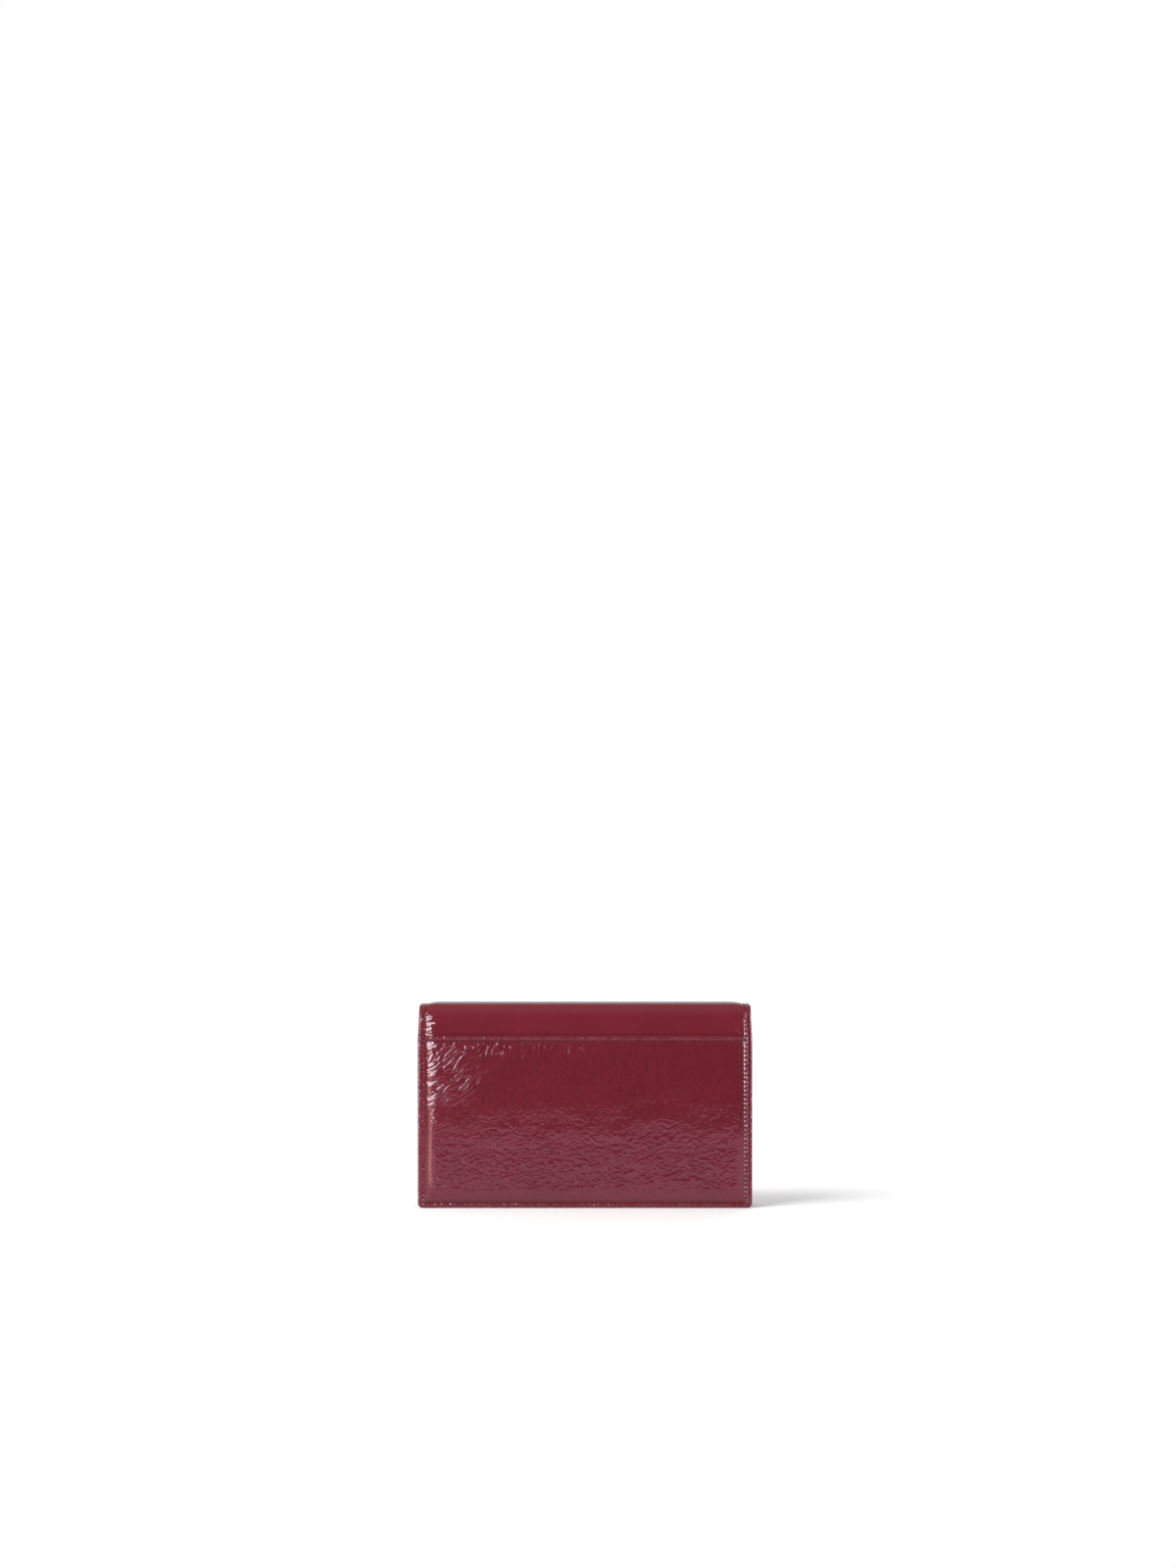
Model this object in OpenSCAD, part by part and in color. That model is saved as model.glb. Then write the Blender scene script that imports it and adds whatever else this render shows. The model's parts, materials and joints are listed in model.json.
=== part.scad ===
// Long wallet with a flap, a slip pocket on its back, two note compartments and a zipped coin pocket.
//
// Millimetres. X runs along the wallet's length, Z is up, and the wallet stands on its bottom edge.
// -Y is the back, which carries the slip pocket. +Y is the front, which the flap covers.
// The origin is under the middle of the wallet, on the surface that it stands on.

/* [Body] */
// Length of the wallet, along X
wallet_w = 190; // [180:1:200]
// Height of the closed wallet
wallet_h = 116; // [112:1:124]
// Thickness of the closed wallet, front to back
wallet_d = 30; // [29:0.5:33]
// Width of the flat hem outside the stitching
hem = 3.4; // [2.5:0.1:4.5]
// Radius of the lower corners
corner_r = 3; // [2:0.5:5]
// Radius of the leather where it rolls over the top
fold_r = 5; // [4.5:0.5:6]

/* [Back pocket] */
// Distance from the top of the wallet down to the slip pocket's edge
pocket_drop = 18; // [14:1:30]
// How far the padded middle of the slip pocket stands proud of its hem
pocket_crown = 1.2; // [0.6:0.1:1.4]

/* [Flap] */
// Height of the flap's free edge above the bottom
flap_bottom = 32; // [20:1:45]
// Radius of the flap's free corners
flap_corner_r = 11; // [4:1:20]
// Height of the magnetic snap's centre above the flap's free edge
snap_rise = 20; // [15:1:40]

/* [Leather] */
// Thickness of the outer leather
leather_t = 0.9; // [0.7:0.05:0.9]
// Thickness of the stiffening board
board_t = 0.8; // [0.6:0.05:0.8]
// Thickness of the lining leather
lining_t = 0.5; // [0.4:0.05:0.5]
// How far the padded middles of the flap and the top stand proud of their hems
crown = 0.8; // [0.4:0.1:0.8]

/* [Inside] */
// Thickness of a card tier
tier_t = 0.55; // [0.4:0.05:0.55]
// Step in height from one card tier to the next
tier_step = 12; // [9:0.5:13]
// Height of the front board
front_h = 104; // [98:1:104]
// Top of the coin pocket's walls
coin_h = 92; // [80:1:93]
// Clear width inside the coin pocket
coin_gap = 4.6; // [4.4:0.1:5]

/* [Zip] */
// Length of the rows of teeth
zip_len = 160; // [140:2:164]
// Distance from one tooth to the next on one row
tooth_pitch = 2.1; // [1.8:0.1:3]
// Length of the puller
pull_len = 13.5; // [9:0.5:14]

/* [Hidden] */
$fn = 64;
eps = 0.01;
tier_count = 4;

// Colours
patent = [0.42, 0.10, 0.15];
lining_red = [0.36, 0.09, 0.13];
card_red = [0.40, 0.11, 0.16];
board_grey = [0.55, 0.52, 0.48];
foam_white = [0.85, 0.84, 0.80];
tape_red = [0.30, 0.07, 0.11];
gold = [0.83, 0.69, 0.42];
magnet_grey = [0.35, 0.36, 0.38];

// Half lengths: the pocket is the widest piece, and the sheet that carries on into the flap is narrower.
half_w = wallet_w / 2;
sheet_x = half_w - 0.6;
crown_x = half_w - hem - 0.4;
crown_slope = 1.2;

// Layers of the back board, from its outer face inwards.
pocket_t = 1.0;
pocket_face_y = -wallet_d / 2;
pocket_hem_y = pocket_face_y + pocket_crown;
back_face_y = pocket_hem_y + pocket_t;
back_board_y = back_face_y + leather_t;
back_lining_y = back_board_y + board_t;
back_inner_y = back_lining_y + lining_t;
back_tiers_y = back_inner_y + tier_count * tier_t;

// Layers of the flap, from its outer face inwards, then those of the front board.
flap_face_y = wallet_d / 2;
flap_hem_y = flap_face_y - crown;
flap_leather_y = flap_hem_y - leather_t;
flap_board_y = flap_leather_y - 0.6;
flap_inner_y = flap_board_y - lining_t;
flap_gap = 0.3;
front_face_y = flap_inner_y - flap_gap;
front_board_y = front_face_y - leather_t;
front_lining_y = front_board_y - board_t;
front_inner_y = front_lining_y - lining_t;
front_tiers_y = front_inner_y - tier_count * tier_t;

// The roll over the top: its centres, and the gap that each fold needs to move.
hem_top_z = wallet_h - crown;
roll_z = hem_top_z - fold_r;
roll_back_y = back_face_y + fold_r;
roll_front_y = flap_hem_y - fold_r;
lining_r = fold_r - leather_t - lining_t / 2 - 0.02;
fold_gap = 0.5;

pocket_top = wallet_h - pocket_drop;
slip_gap = 0.4;
board_top = wallet_h - 9;
flap_top = roll_z - fold_gap;

// The coin pocket sits midway between the two stacks of card tiers.
coin_wall_t = 0.8;
coin_y = (back_tiers_y + front_tiers_y) / 2;
coin_x = 91;
coin_bottom = 1.5;
coin_in = coin_gap / 2;
coin_out = coin_in + coin_wall_t;

// Card tiers and the strips below them.
tier_x = 88;
tier_bottom = 8.5;
tier_top = wallet_h - 15;

// Gussets and floors are thin sheets, folded along a path.
sheet_t = 0.6;
gusset_x = 93.2;
gusset_in_x = 76;
gusset_top = 96;
floor_hem_z = 8;
floor_z = 1.6;
floor_side_z = 3.2;

// Zip. The tapes are L-shaped, and the teeth mesh in the middle.
tape_t = 0.4;
tape_z = coin_h - 0.6;
tape_leg = 8;
tape_reach = 0.8;
tooth_w = 0.95;
tooth_h = 1.4;
tooth_cross = 0.35;
tooth_z = tape_z - 0.5;
rib_w = 0.3;
teeth_top = tooth_z + tooth_h;

// Slider and puller.
slider_x = -74;
slider_l = 9;
slider_w = 4.2;
slider_z = teeth_top + 0.2;
slider_t = 0.8;
flange_h = 0.55;
pin_r = 0.5;
pin_z = slider_z + slider_t + 1.3;
pull_t = 0.8;
pull_w = 3.6;
eye_clearance = 0.08;

// Magnetic snap.
snap_z = flap_bottom + snap_rise;
snap_r = 6.2;
snap_bore_r = 2.6;
snap_post_r = 2.0;
snap_flange_r = 5.5;
snap_shank_r = 1.5;
snap_washer_r = 4;
snap_fit = 0.05;

// Unit vector of b - a.
function heading(a, b) = (b - a) / norm(b - a);

// The point at distance d to the left of a path at index i, with mitred bends.
function offset_point(path, i, d) =
    let (
        last = len(path) - 1,
        before = i > 0 ? heading(path[i - 1], path[i]) : heading(path[0], path[1]),
        after = i < last ? heading(path[i], path[i + 1]) : before,
        left = [-before[1] - after[1], before[0] + after[0]],
        side = left / norm(left),
        across = side[0] * -before[1] + side[1] * before[0]
    )
    path[i] + side * d / across;

// The outline of a sheet of thickness t that follows a path.
function ribbon(path, t) = concat(
    [for (i = [0:len(path) - 1]) offset_point(path, i, t / 2)],
    [for (i = [len(path) - 1:-1:0]) offset_point(path, i, -t / 2)]
);

// Points of an arc about a centre, from angle a0 to a1.
function arc(centre, r, a0, a1, steps = 8) = [
    for (i = [0:steps])
        let (a = a0 + (a1 - a0) * i / steps)
        centre + r * [cos(a), sin(a)]
];

// A drawing in X and Z, made solid from y0 to y1.
module slab(y0, y1) {
    translate([0, y1, 0]) rotate([90, 0, 0]) linear_extrude(y1 - y0) children();
}

// A drawing in Y and Z, made solid from x0 to x1.
module along_x(x0, x1) {
    translate([x0, 0, 0]) rotate([90, 0, 90]) linear_extrude(x1 - x0) children();
}

// A drawing of radius and X, turned about an axis along X, from angle a0 to a1. Angle 0 points to +Y.
module roll(y, z, a0, a1) {
    translate([0, y, z]) rotate([90, 0, 90]) rotate([0, 0, a0])
        rotate_extrude(angle = a1 - a0) children();
}

// A disc or drum about an axis along Y at the snap.
module snap_disc(r, y0, y1) {
    translate([0, y1, snap_z]) rotate([90, 0, 0]) cylinder(r = r, h = y1 - y0);
}

// A rectangle with rounded lower and upper corners.
module panel_outline(half, z0, z1, r_low, r_high) {
    difference() {
        translate([-half, z0]) square([2 * half, z1 - z0]);
        for (side = [-1, 1]) {
            corner_cut(side * half, z0, side, -1, r_low);
            corner_cut(side * half, z1, side, 1, r_high);
        }
    }
}

// What a rounded corner takes off a square one.
module corner_cut(x, z, side, up, r) {
    if (r > 0)
        difference() {
            translate([x - side * r / 2 + side * eps / 2, z - up * r / 2 + up * eps / 2])
                square([r + eps, r + eps], center = true);
            translate([x - side * r, z - up * r]) circle(r);
        }
}

// A pad with sloping sides that stands on y0 and ends at y1. The slopes can be left off its top.
module pad(half, z0, z1, y0, y1, slope, r, top_slope) {
    hull() {
        slab(min(y0, y0 + sign(y1 - y0) * eps), max(y0, y0 + sign(y1 - y0) * eps))
            panel_outline(half, z0, z1, r, top_slope > 0 ? r : 0);
        slab(min(y1, y1 - sign(y1 - y0) * eps), max(y1, y1 - sign(y1 - y0) * eps))
            panel_outline(half - slope, z0 + slope, z1 - top_slope, r, top_slope > 0 ? r : 0);
    }
}

// The leather's section across a fold: a hem-level sheet with the padded middle on it.
module fold_section() {
    translate([fold_r - leather_t, -sheet_x]) square([leather_t, 2 * sheet_x]);
    polygon([
        [fold_r - eps, -crown_x], [fold_r + crown, -crown_x + crown_slope],
        [fold_r + crown, crown_x - crown_slope], [fold_r - eps, crown_x]
    ]);
}

// ---- Back board ----

// The hollow behind the slip pocket's leather.
module pocket_hollow(top_z) {
    pad(crown_x - 1.2, 5, top_z, back_face_y, back_face_y - pocket_crown, 2.5, 2, 0);
}

// Foam glued to the inside of the pocket's leather, clear of the back panel by the slip gap.
module back_pocket_padding() {
    color(foam_white) intersection() {
        pocket_hollow(pocket_top - 2.5);
        slab(back_face_y - pocket_crown - 1, back_face_y - slip_gap)
            translate([-half_w, 0]) square([wallet_w, pocket_top]);
    }
}

module back_pocket() {
    color(patent) difference() {
        union() {
            slab(pocket_hem_y, back_face_y) panel_outline(half_w, 0, pocket_top, corner_r, 0.5);
            pad(crown_x, hem + 0.5, pocket_top, pocket_hem_y + eps, pocket_face_y, 2.7, 2.5, 0);
        }
        pocket_hollow(pocket_top - 2.5);
        slab(back_face_y - slip_gap, back_face_y + 1)
            translate([1.2 - crown_x, pocket_top - 4]) square([2 * crown_x - 2.4, 5]);
    }
}

module back_panel() {
    color(patent) {
        slab(back_face_y, back_board_y) panel_outline(sheet_x, 0, roll_z, corner_r, 0);
        pad(crown_x, pocket_top + 0.4, roll_z, back_face_y + eps, back_face_y - crown,
            crown_slope, 0.5, 0);
        roll(roll_back_y, roll_z, 90, 180) fold_section();
    }
}

module back_stiffener() {
    color(board_grey)
        slab(back_board_y, back_lining_y) panel_outline(sheet_x - 1.2, 1.2, board_top, 2, 2);
}

module back_lining() {
    mid_y = back_lining_y + lining_t / 2;
    centre = [roll_back_y, roll_z];
    path = concat([[mid_y, 0.5], [mid_y, board_top + 0.2]], arc(centre, lining_r, 160, 90, 12));
    color(lining_red) along_x(-sheet_x + 0.8, sheet_x - 0.8) polygon(ribbon(path, lining_t));
}

// Tier i of the back board, from 0 at the board to the lowest and furthest out.
module back_card_tier(i) {
    y0 = back_inner_y + i * tier_t;
    color(card_red) slab(y0, y0 + tier_t)
        panel_outline(tier_x, tier_bottom, tier_top - i * tier_step, 0.5, 0.5);
}

// A gusset: from its hem on the board, past the tiers' ends, in to its fold and out to the coin wall.
module back_gusset(side) {
    hem_y = back_inner_y + sheet_t / 2;
    wall_y = coin_y - coin_out - sheet_t / 2;
    tiers_y = back_tiers_y + sheet_t / 2;
    fold_y = (tiers_y + wall_y) / 2;
    path = [
        [gusset_x, hem_y], [gusset_x - 3, hem_y], [tier_x + 0.7, tiers_y + 0.2],
        [gusset_in_x, fold_y - 0.4], [gusset_in_x, fold_y + 0.4],
        [tier_x + 0.6, wall_y - 0.35], [coin_x, wall_y]
    ];
    color(lining_red) scale([side, 1, 1]) translate([0, 0, tier_bottom])
        linear_extrude(gusset_top - tier_bottom) polygon(ribbon(path, sheet_t));
}

module back_floor() {
    hem_y = back_inner_y + sheet_t / 2;
    wall_y = coin_y - coin_out - sheet_t / 2;
    path = [
        [hem_y, floor_hem_z], [hem_y, floor_side_z], [(hem_y + wall_y) / 2, floor_z],
        [wall_y, floor_side_z], [wall_y, floor_hem_z]
    ];
    color(lining_red) along_x(-coin_x, coin_x) polygon(ribbon(path, sheet_t));
}

// ---- Top ----

module top_band() {
    start_y = roll_back_y + fold_gap;
    color(patent) {
        translate([-sheet_x, start_y, hem_top_z - leather_t])
            cube([2 * sheet_x, roll_front_y - start_y, leather_t]);
        hull() {
            translate([-crown_x, start_y, hem_top_z - eps])
                cube([2 * crown_x, roll_front_y - start_y, eps]);
            translate([-crown_x + crown_slope, start_y, wallet_h - eps])
                cube([2 * (crown_x - crown_slope), roll_front_y - start_y, eps]);
        }
        roll(roll_front_y, roll_z, 0, 90) fold_section();
    }
}

module top_lining() {
    start_y = roll_back_y + fold_gap;
    centre = [roll_front_y, roll_z];
    path = concat([[start_y, roll_z + lining_r]], arc(centre, lining_r, 90, 0, 12));
    color(lining_red) along_x(-sheet_x + 0.8, sheet_x - 0.8) polygon(ribbon(path, lining_t));
}

// ---- Flap ----

module flap_outline(inset, z1) {
    panel_outline(sheet_x - inset, flap_bottom + inset, z1, flap_corner_r - inset, 0);
}

module flap_outer() {
    color(patent) difference() {
        union() {
            slab(flap_leather_y, flap_hem_y) flap_outline(0, flap_top);
            hull() {
                slab(flap_hem_y - eps, flap_hem_y) flap_outline(hem, flap_top);
                slab(flap_face_y - eps, flap_face_y) flap_outline(hem + crown_slope, flap_top);
            }
        }
        flap_padding();
    }
}

// The raised middle of the flap's board, which fills the hollow of the leather.
module flap_padding() {
    slab(flap_leather_y - eps, flap_leather_y + crown) flap_outline(hem + 0.9, flap_top - 1.2);
}

module flap_stiffener() {
    color(board_grey) difference() {
        union() {
            slab(flap_board_y, flap_leather_y) flap_outline(1.2, flap_top - 1.2);
            flap_padding();
        }
        snap_disc(snap_r + snap_fit, flap_board_y - 1, snap_plate_y + 0.4);
    }
}

module flap_lining() {
    color(lining_red) difference() {
        slab(flap_inner_y, flap_board_y) flap_outline(0.8, flap_top);
        snap_disc(snap_r + 0.3, flap_inner_y - 1, flap_board_y + 1);
    }
}

snap_mouth_y = flap_board_y - 0.1;
snap_plate_y = flap_board_y + 1;

// The female half: a cup with a bore in its face, a ring magnet in it and a plate behind.
module snap_socket() {
    color(gold) difference() {
        snap_disc(snap_r, snap_mouth_y, snap_plate_y);
        snap_disc(snap_bore_r, snap_mouth_y - 1, snap_plate_y + 1);
        snap_disc(snap_r - 0.5, snap_mouth_y + 0.3, snap_plate_y + 1);
    }
}

module snap_magnet() {
    color(magnet_grey) difference() {
        snap_disc(snap_r - 0.5 - snap_fit, snap_mouth_y + 0.3, snap_plate_y);
        snap_disc(snap_bore_r, snap_mouth_y, snap_plate_y + 1);
    }
}

module snap_socket_plate() {
    color(gold) snap_disc(snap_r, snap_plate_y, snap_plate_y + 0.4);
}

// ---- Coin pocket ----

module coin_wall(side) {
    y0 = coin_y + (side > 0 ? coin_in : -coin_out);
    color(lining_red) slab(y0, y0 + coin_wall_t) panel_outline(coin_x, coin_bottom, coin_h, 1, 1);
}

module coin_base() {
    color(lining_red) translate([-coin_x + 1, coin_y - coin_in, coin_bottom])
        cube([2 * coin_x - 2, coin_gap, 1.5]);
}

module coin_side(side) {
    color(lining_red) scale([side, 1, 1]) translate([coin_x - 2.5, coin_y - coin_in, coin_bottom + 1.5])
        cube([1.5, coin_gap, tape_z - tape_leg - coin_bottom - 2.5]);
}

module zip_tape(side) {
    y_out = coin_in - tape_t / 2;
    path = [
        [side * y_out + coin_y, tape_z - tape_leg], [side * y_out + coin_y, tape_z + tape_t / 2],
        [side * (coin_in - tape_t - tape_reach) + coin_y, tape_z + tape_t / 2]
    ];
    color(tape_red) along_x(-zip_len / 2 - 8, zip_len / 2 + 8) polygon(ribbon(path, tape_t));
}

// One row of teeth on its rib. The two rows are half a pitch apart, so that they mesh.
module zip_teeth(side) {
    rib_y = coin_in - tape_t - tape_reach;
    shift = side > 0 ? 0 : tooth_pitch / 2;
    count = floor((zip_len - tooth_pitch) / tooth_pitch);
    color(gold) translate([0, coin_y, 0]) scale([1, side, 1]) {
        translate([-zip_len / 2, rib_y - rib_w, tape_z])
            cube([zip_len, rib_w, tape_t]);
        for (i = [0:count - 1])
            translate([-zip_len / 2 + shift + i * tooth_pitch, -tooth_cross, tooth_z])
                cube([tooth_w, rib_y + tooth_cross, tooth_h]);
    }
}

module zip_stop(side) {
    color(gold) scale([side, 1, 1]) translate([zip_len / 2 + 0.3, coin_y - 1, tooth_z])
        cube([2.2, 2, tooth_h]);
}

// The slider's top plate, with a flange along each side and two cheeks that hold the bar.
module zip_slider() {
    color(gold) {
        translate([slider_x, coin_y, slider_z]) linear_extrude(slider_t)
            polygon([
                [-slider_l / 2, -slider_w / 2 + 0.6], [-slider_l / 4, -slider_w / 2],
                [slider_l / 2, -slider_w / 2], [slider_l / 2, slider_w / 2],
                [-slider_l / 4, slider_w / 2], [-slider_l / 2, slider_w / 2 - 0.6]
            ]);
        for (side = [-1, 1]) translate([slider_x, coin_y, slider_z]) {
            translate([-slider_l / 4, side * (slider_w / 2 - 0.25) - 0.25, -flange_h])
                cube([slider_l * 3 / 4, 0.5, flange_h]);
            translate([-1.4, side * 1.6 - 0.4, 0])
                cube([2.8, 0.8, pin_z - slider_z + pin_r + 0.2]);
        }
        pin_bar(pin_r, 3.6);
    }
}

// The bar that the puller turns on, along Y.
module pin_bar(r, length) {
    translate([slider_x, coin_y + length / 2, pin_z]) rotate([90, 0, 0]) cylinder(r = r, h = length);
}

module zip_pull() {
    eye_w = 2.1;
    eye_r = pin_r + eye_clearance + 0.55;
    color(gold) difference() {
        union() {
            pin_bar(eye_r, eye_w);
            translate([slider_x, coin_y - eye_w / 2, pin_z - pull_t / 2]) cube([3.2, eye_w, pull_t]);
            translate([slider_x + 3, coin_y - pull_w / 2, pin_z - pull_t / 2])
                cube([pull_len - 3 - pull_w / 2, pull_w, pull_t]);
            translate([slider_x + pull_len - pull_w / 2, coin_y, pin_z - pull_t / 2])
                cylinder(r = pull_w / 2, h = pull_t);
        }
        pin_bar(pin_r + eye_clearance, eye_w + 1);
    }
}

// ---- Front board ----

module front_panel() {
    color(patent) difference() {
        slab(front_board_y, front_face_y) panel_outline(half_w - 1, 0, front_h, corner_r, corner_r);
        snap_disc(snap_shank_r + snap_fit, front_board_y - 1, front_face_y + 1);
    }
}

module front_stiffener() {
    color(board_grey) difference() {
        slab(front_lining_y, front_board_y) panel_outline(half_w - 2.5, 1.2, front_h - 1.2, 2, 2);
        snap_disc(snap_shank_r + snap_fit, front_lining_y - 1, front_board_y + 1);
        snap_disc(snap_washer_r + snap_fit, front_lining_y - 1, front_lining_y + 0.4);
    }
}

module front_lining() {
    color(lining_red)
        slab(front_inner_y, front_lining_y) panel_outline(half_w - 1.5, 0.5, front_h - 0.5, 2.5, 2.5);
}

module front_card_tier(i) {
    y1 = front_inner_y - i * tier_t;
    color(card_red) slab(y1 - tier_t, y1)
        panel_outline(tier_x, tier_bottom, front_h - 5 - i * tier_step, 0.5, 0.5);
}

module front_gusset(side) {
    hem_y = front_inner_y - sheet_t / 2;
    wall_y = coin_y + coin_out + sheet_t / 2;
    tiers_y = front_tiers_y - sheet_t / 2;
    fold_y = (tiers_y + wall_y) / 2;
    path = [
        [coin_x, wall_y], [tier_x + 0.6, wall_y + 0.35],
        [gusset_in_x, fold_y - 0.4], [gusset_in_x, fold_y + 0.4],
        [tier_x + 0.7, tiers_y - 0.2], [gusset_x - 3, hem_y], [gusset_x - 0.5, hem_y]
    ];
    color(lining_red) scale([side, 1, 1]) translate([0, 0, tier_bottom])
        linear_extrude(gusset_top - tier_bottom) polygon(ribbon(path, sheet_t));
}

module front_floor() {
    hem_y = front_inner_y - sheet_t / 2;
    wall_y = coin_y + coin_out + sheet_t / 2;
    path = [
        [wall_y, floor_hem_z], [wall_y, floor_side_z], [(hem_y + wall_y) / 2, floor_z],
        [hem_y, floor_side_z], [hem_y, floor_hem_z]
    ];
    color(lining_red) along_x(-coin_x, coin_x) polygon(ribbon(path, sheet_t));
}

// The male half of the snap, riveted through the front board.
module snap_stud() {
    color(gold) {
        snap_disc(snap_flange_r, front_face_y, front_face_y + 0.5);
        snap_disc(snap_post_r, front_face_y + 0.4, front_face_y + 1.6);
        snap_disc(snap_shank_r, front_lining_y + 0.05, front_face_y + 0.1);
    }
}

module snap_stud_washer() {
    color(gold) difference() {
        snap_disc(snap_washer_r, front_lining_y, front_lining_y + 0.4);
        snap_disc(snap_shank_r + snap_fit, front_lining_y - 1, front_lining_y + 1);
    }
}

back_pocket();
back_pocket_padding();
back_panel();
back_stiffener();
back_lining();
back_card_tier(0);  // back_card_tier_1
back_card_tier(1);  // back_card_tier_2
back_card_tier(2);  // back_card_tier_3
back_card_tier(3);  // back_card_tier_4
back_gusset(-1);  // back_gusset_left
back_gusset(1);  // back_gusset_right
back_floor();
top_band();
top_lining();
flap_outer();
flap_stiffener();
flap_lining();
snap_socket();
snap_magnet();
snap_socket_plate();
coin_wall(-1);  // coin_wall_back
coin_wall(1);  // coin_wall_front
coin_base();
coin_side(-1);  // coin_side_left
coin_side(1);  // coin_side_right
zip_tape(-1);  // zip_tape_back
zip_tape(1);  // zip_tape_front
zip_teeth(-1);  // zip_teeth_back
zip_teeth(1);  // zip_teeth_front
zip_stop(-1);  // zip_stop_left
zip_stop(1);  // zip_stop_right
zip_slider();
zip_pull();
front_panel();
front_stiffener();
front_lining();
front_card_tier(0);  // front_card_tier_1
front_card_tier(1);  // front_card_tier_2
front_card_tier(2);  // front_card_tier_3
front_card_tier(3);  // front_card_tier_4
front_gusset(-1);  // front_gusset_left
front_gusset(1);  // front_gusset_right
front_floor();
snap_stud();
snap_stud_washer();
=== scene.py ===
"""The looks of a long wallet in crinkled patent leather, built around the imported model.

Lengths are in millimetres until a mesh is made. X runs along the wallet, -Y is its back, +Y its flap and Z
is up.
"""

import json
import math

import bmesh
import bpy
import numpy as np
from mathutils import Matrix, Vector


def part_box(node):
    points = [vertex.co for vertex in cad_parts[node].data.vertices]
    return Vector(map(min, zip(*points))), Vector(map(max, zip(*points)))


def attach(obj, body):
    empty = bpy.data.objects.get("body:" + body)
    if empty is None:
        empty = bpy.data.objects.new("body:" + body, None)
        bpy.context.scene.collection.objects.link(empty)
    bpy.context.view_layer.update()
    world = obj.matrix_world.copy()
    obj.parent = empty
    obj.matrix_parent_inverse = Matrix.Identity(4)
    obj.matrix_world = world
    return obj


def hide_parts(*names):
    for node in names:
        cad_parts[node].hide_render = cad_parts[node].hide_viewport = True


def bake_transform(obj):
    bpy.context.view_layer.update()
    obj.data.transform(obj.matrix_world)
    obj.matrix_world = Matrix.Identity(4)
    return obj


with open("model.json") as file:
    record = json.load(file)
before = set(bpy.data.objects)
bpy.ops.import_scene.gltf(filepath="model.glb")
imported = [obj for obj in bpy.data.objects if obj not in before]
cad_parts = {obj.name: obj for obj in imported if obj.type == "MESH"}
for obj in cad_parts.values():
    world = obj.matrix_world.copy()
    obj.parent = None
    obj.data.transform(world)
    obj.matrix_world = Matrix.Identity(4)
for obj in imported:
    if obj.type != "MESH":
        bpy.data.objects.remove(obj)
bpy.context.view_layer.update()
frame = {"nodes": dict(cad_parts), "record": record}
MM = 0.001


# ---------------------------------------------------------------- the frame's sizes


def span(node):
    """A node's lowest and highest corners."""
    low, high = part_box(node)
    return np.array(low) / MM, np.array(high) / MM


pocket_low, pocket_high = span("back_pocket")
panel_half_w = span("back_panel")[1][0]
flap_low, flap_high = span("flap_outer")
flap_lining_low, flap_lining_high = span("flap_lining")
front_high = span("front_panel")[1]
socket_low, socket_high = span("snap_socket")

LEATHER_T = 0.9
FOLD_R = 5.0
HEM = 3.5
PITCH = 2.5
TOP_Z = span("top_band")[1][2]
HEM_TOP_Z = TOP_Z - 1.1
ROLL_Z = HEM_TOP_Z - FOLD_R
BACK_FACE_Y = pocket_high[1]
FLAP_FACE_Y = flap_high[1]
FLAP_HEM_Y = FLAP_FACE_Y - 0.8
SEAM_Y = (BACK_FACE_Y + FLAP_HEM_Y) / 2
POCKET_TOP = pocket_high[2]
POCKET_FACE_Y = pocket_low[1]
POCKET_HEM_Y = POCKET_FACE_Y + 1.2
FLAP_CORNER_R = 11.0
CROWN_START_Z = 98.0
LINING_T = 0.5
GUSSET_T = 0.6
SLACK = 0.04  # how much thinner a swept strip is than its CAD part, so that its waves stay inside it


# ---------------------------------------------------------------- noise


def ease(t):
    """From 0 to 1 with flat ends."""
    t = np.clip(t, 0, 1)
    return t * t * (3 - 2 * t)


def lattice_angle(ix, iy, seed):
    """A repeatable random angle for each lattice point."""
    n = (ix * 374761393 + iy * 668265263 + seed * 362437) & 0xFFFFFFFF
    n = ((n ^ (n >> 13)) * 1274126177) & 0xFFFFFFFF
    return ((n ^ (n >> 16)) & 0xFFFF) * (2 * math.pi / 65536)


def noise(x, y, seed=0):
    """Smooth noise of about -1 to 1, with one lump a unit."""
    ix, iy = np.floor(x).astype(np.int64), np.floor(y).astype(np.int64)
    fx, fy = x - ix, y - iy
    total = 0
    for dx in (0, 1):
        for dy in (0, 1):
            a = lattice_angle(ix + dx, iy + dy, seed)
            px, py = fx - dx, fy - dy
            wx, wy = 1 - np.abs(px), 1 - np.abs(py)
            wx = wx * wx * wx * (wx * (wx * 6 - 15) + 10)
            wy = wy * wy * wy * (wy * (wy * 6 - 15) + 10)
            total = total + wx * wy * (np.cos(a) * px + np.sin(a) * py)
    return total * 1.5


def wrinkles(x, y, angle, length, spacing, seed, winding=1.0):
    """Ridges that run at an angle in degrees, with sharp winding valleys between them: 0 in a valley."""
    c, s = math.cos(math.radians(angle)), math.sin(math.radians(angle))
    u, v = x * c + y * s, y * c - x * s
    bend = noise(x / 13, y / 11, seed + 3) * 3.4 + noise(x / 5, y / 4, seed + 4) * 1.1
    v = v + bend * winding
    u = u + noise(x / 6, y / 6, seed + 5) * 2
    n = noise(u / length, v / spacing, seed) + 0.35 * noise(u / length * 2.3, v / spacing * 1.9, seed + 1)
    return np.sqrt(n * n + 0.0016)


def crossed(x, y, angle, other, length, spacing, seed, winding=1.0):
    """Two families of wrinkles that cut across each other."""
    a = wrinkles(x, y, angle, length, spacing, seed, winding)
    b = wrinkles(x, y, other, length * 0.8, spacing * 1.25, seed + 20, winding)
    k = 0.08
    return -k * np.log(np.exp(-a / k) + np.exp(-b / k))


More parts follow.
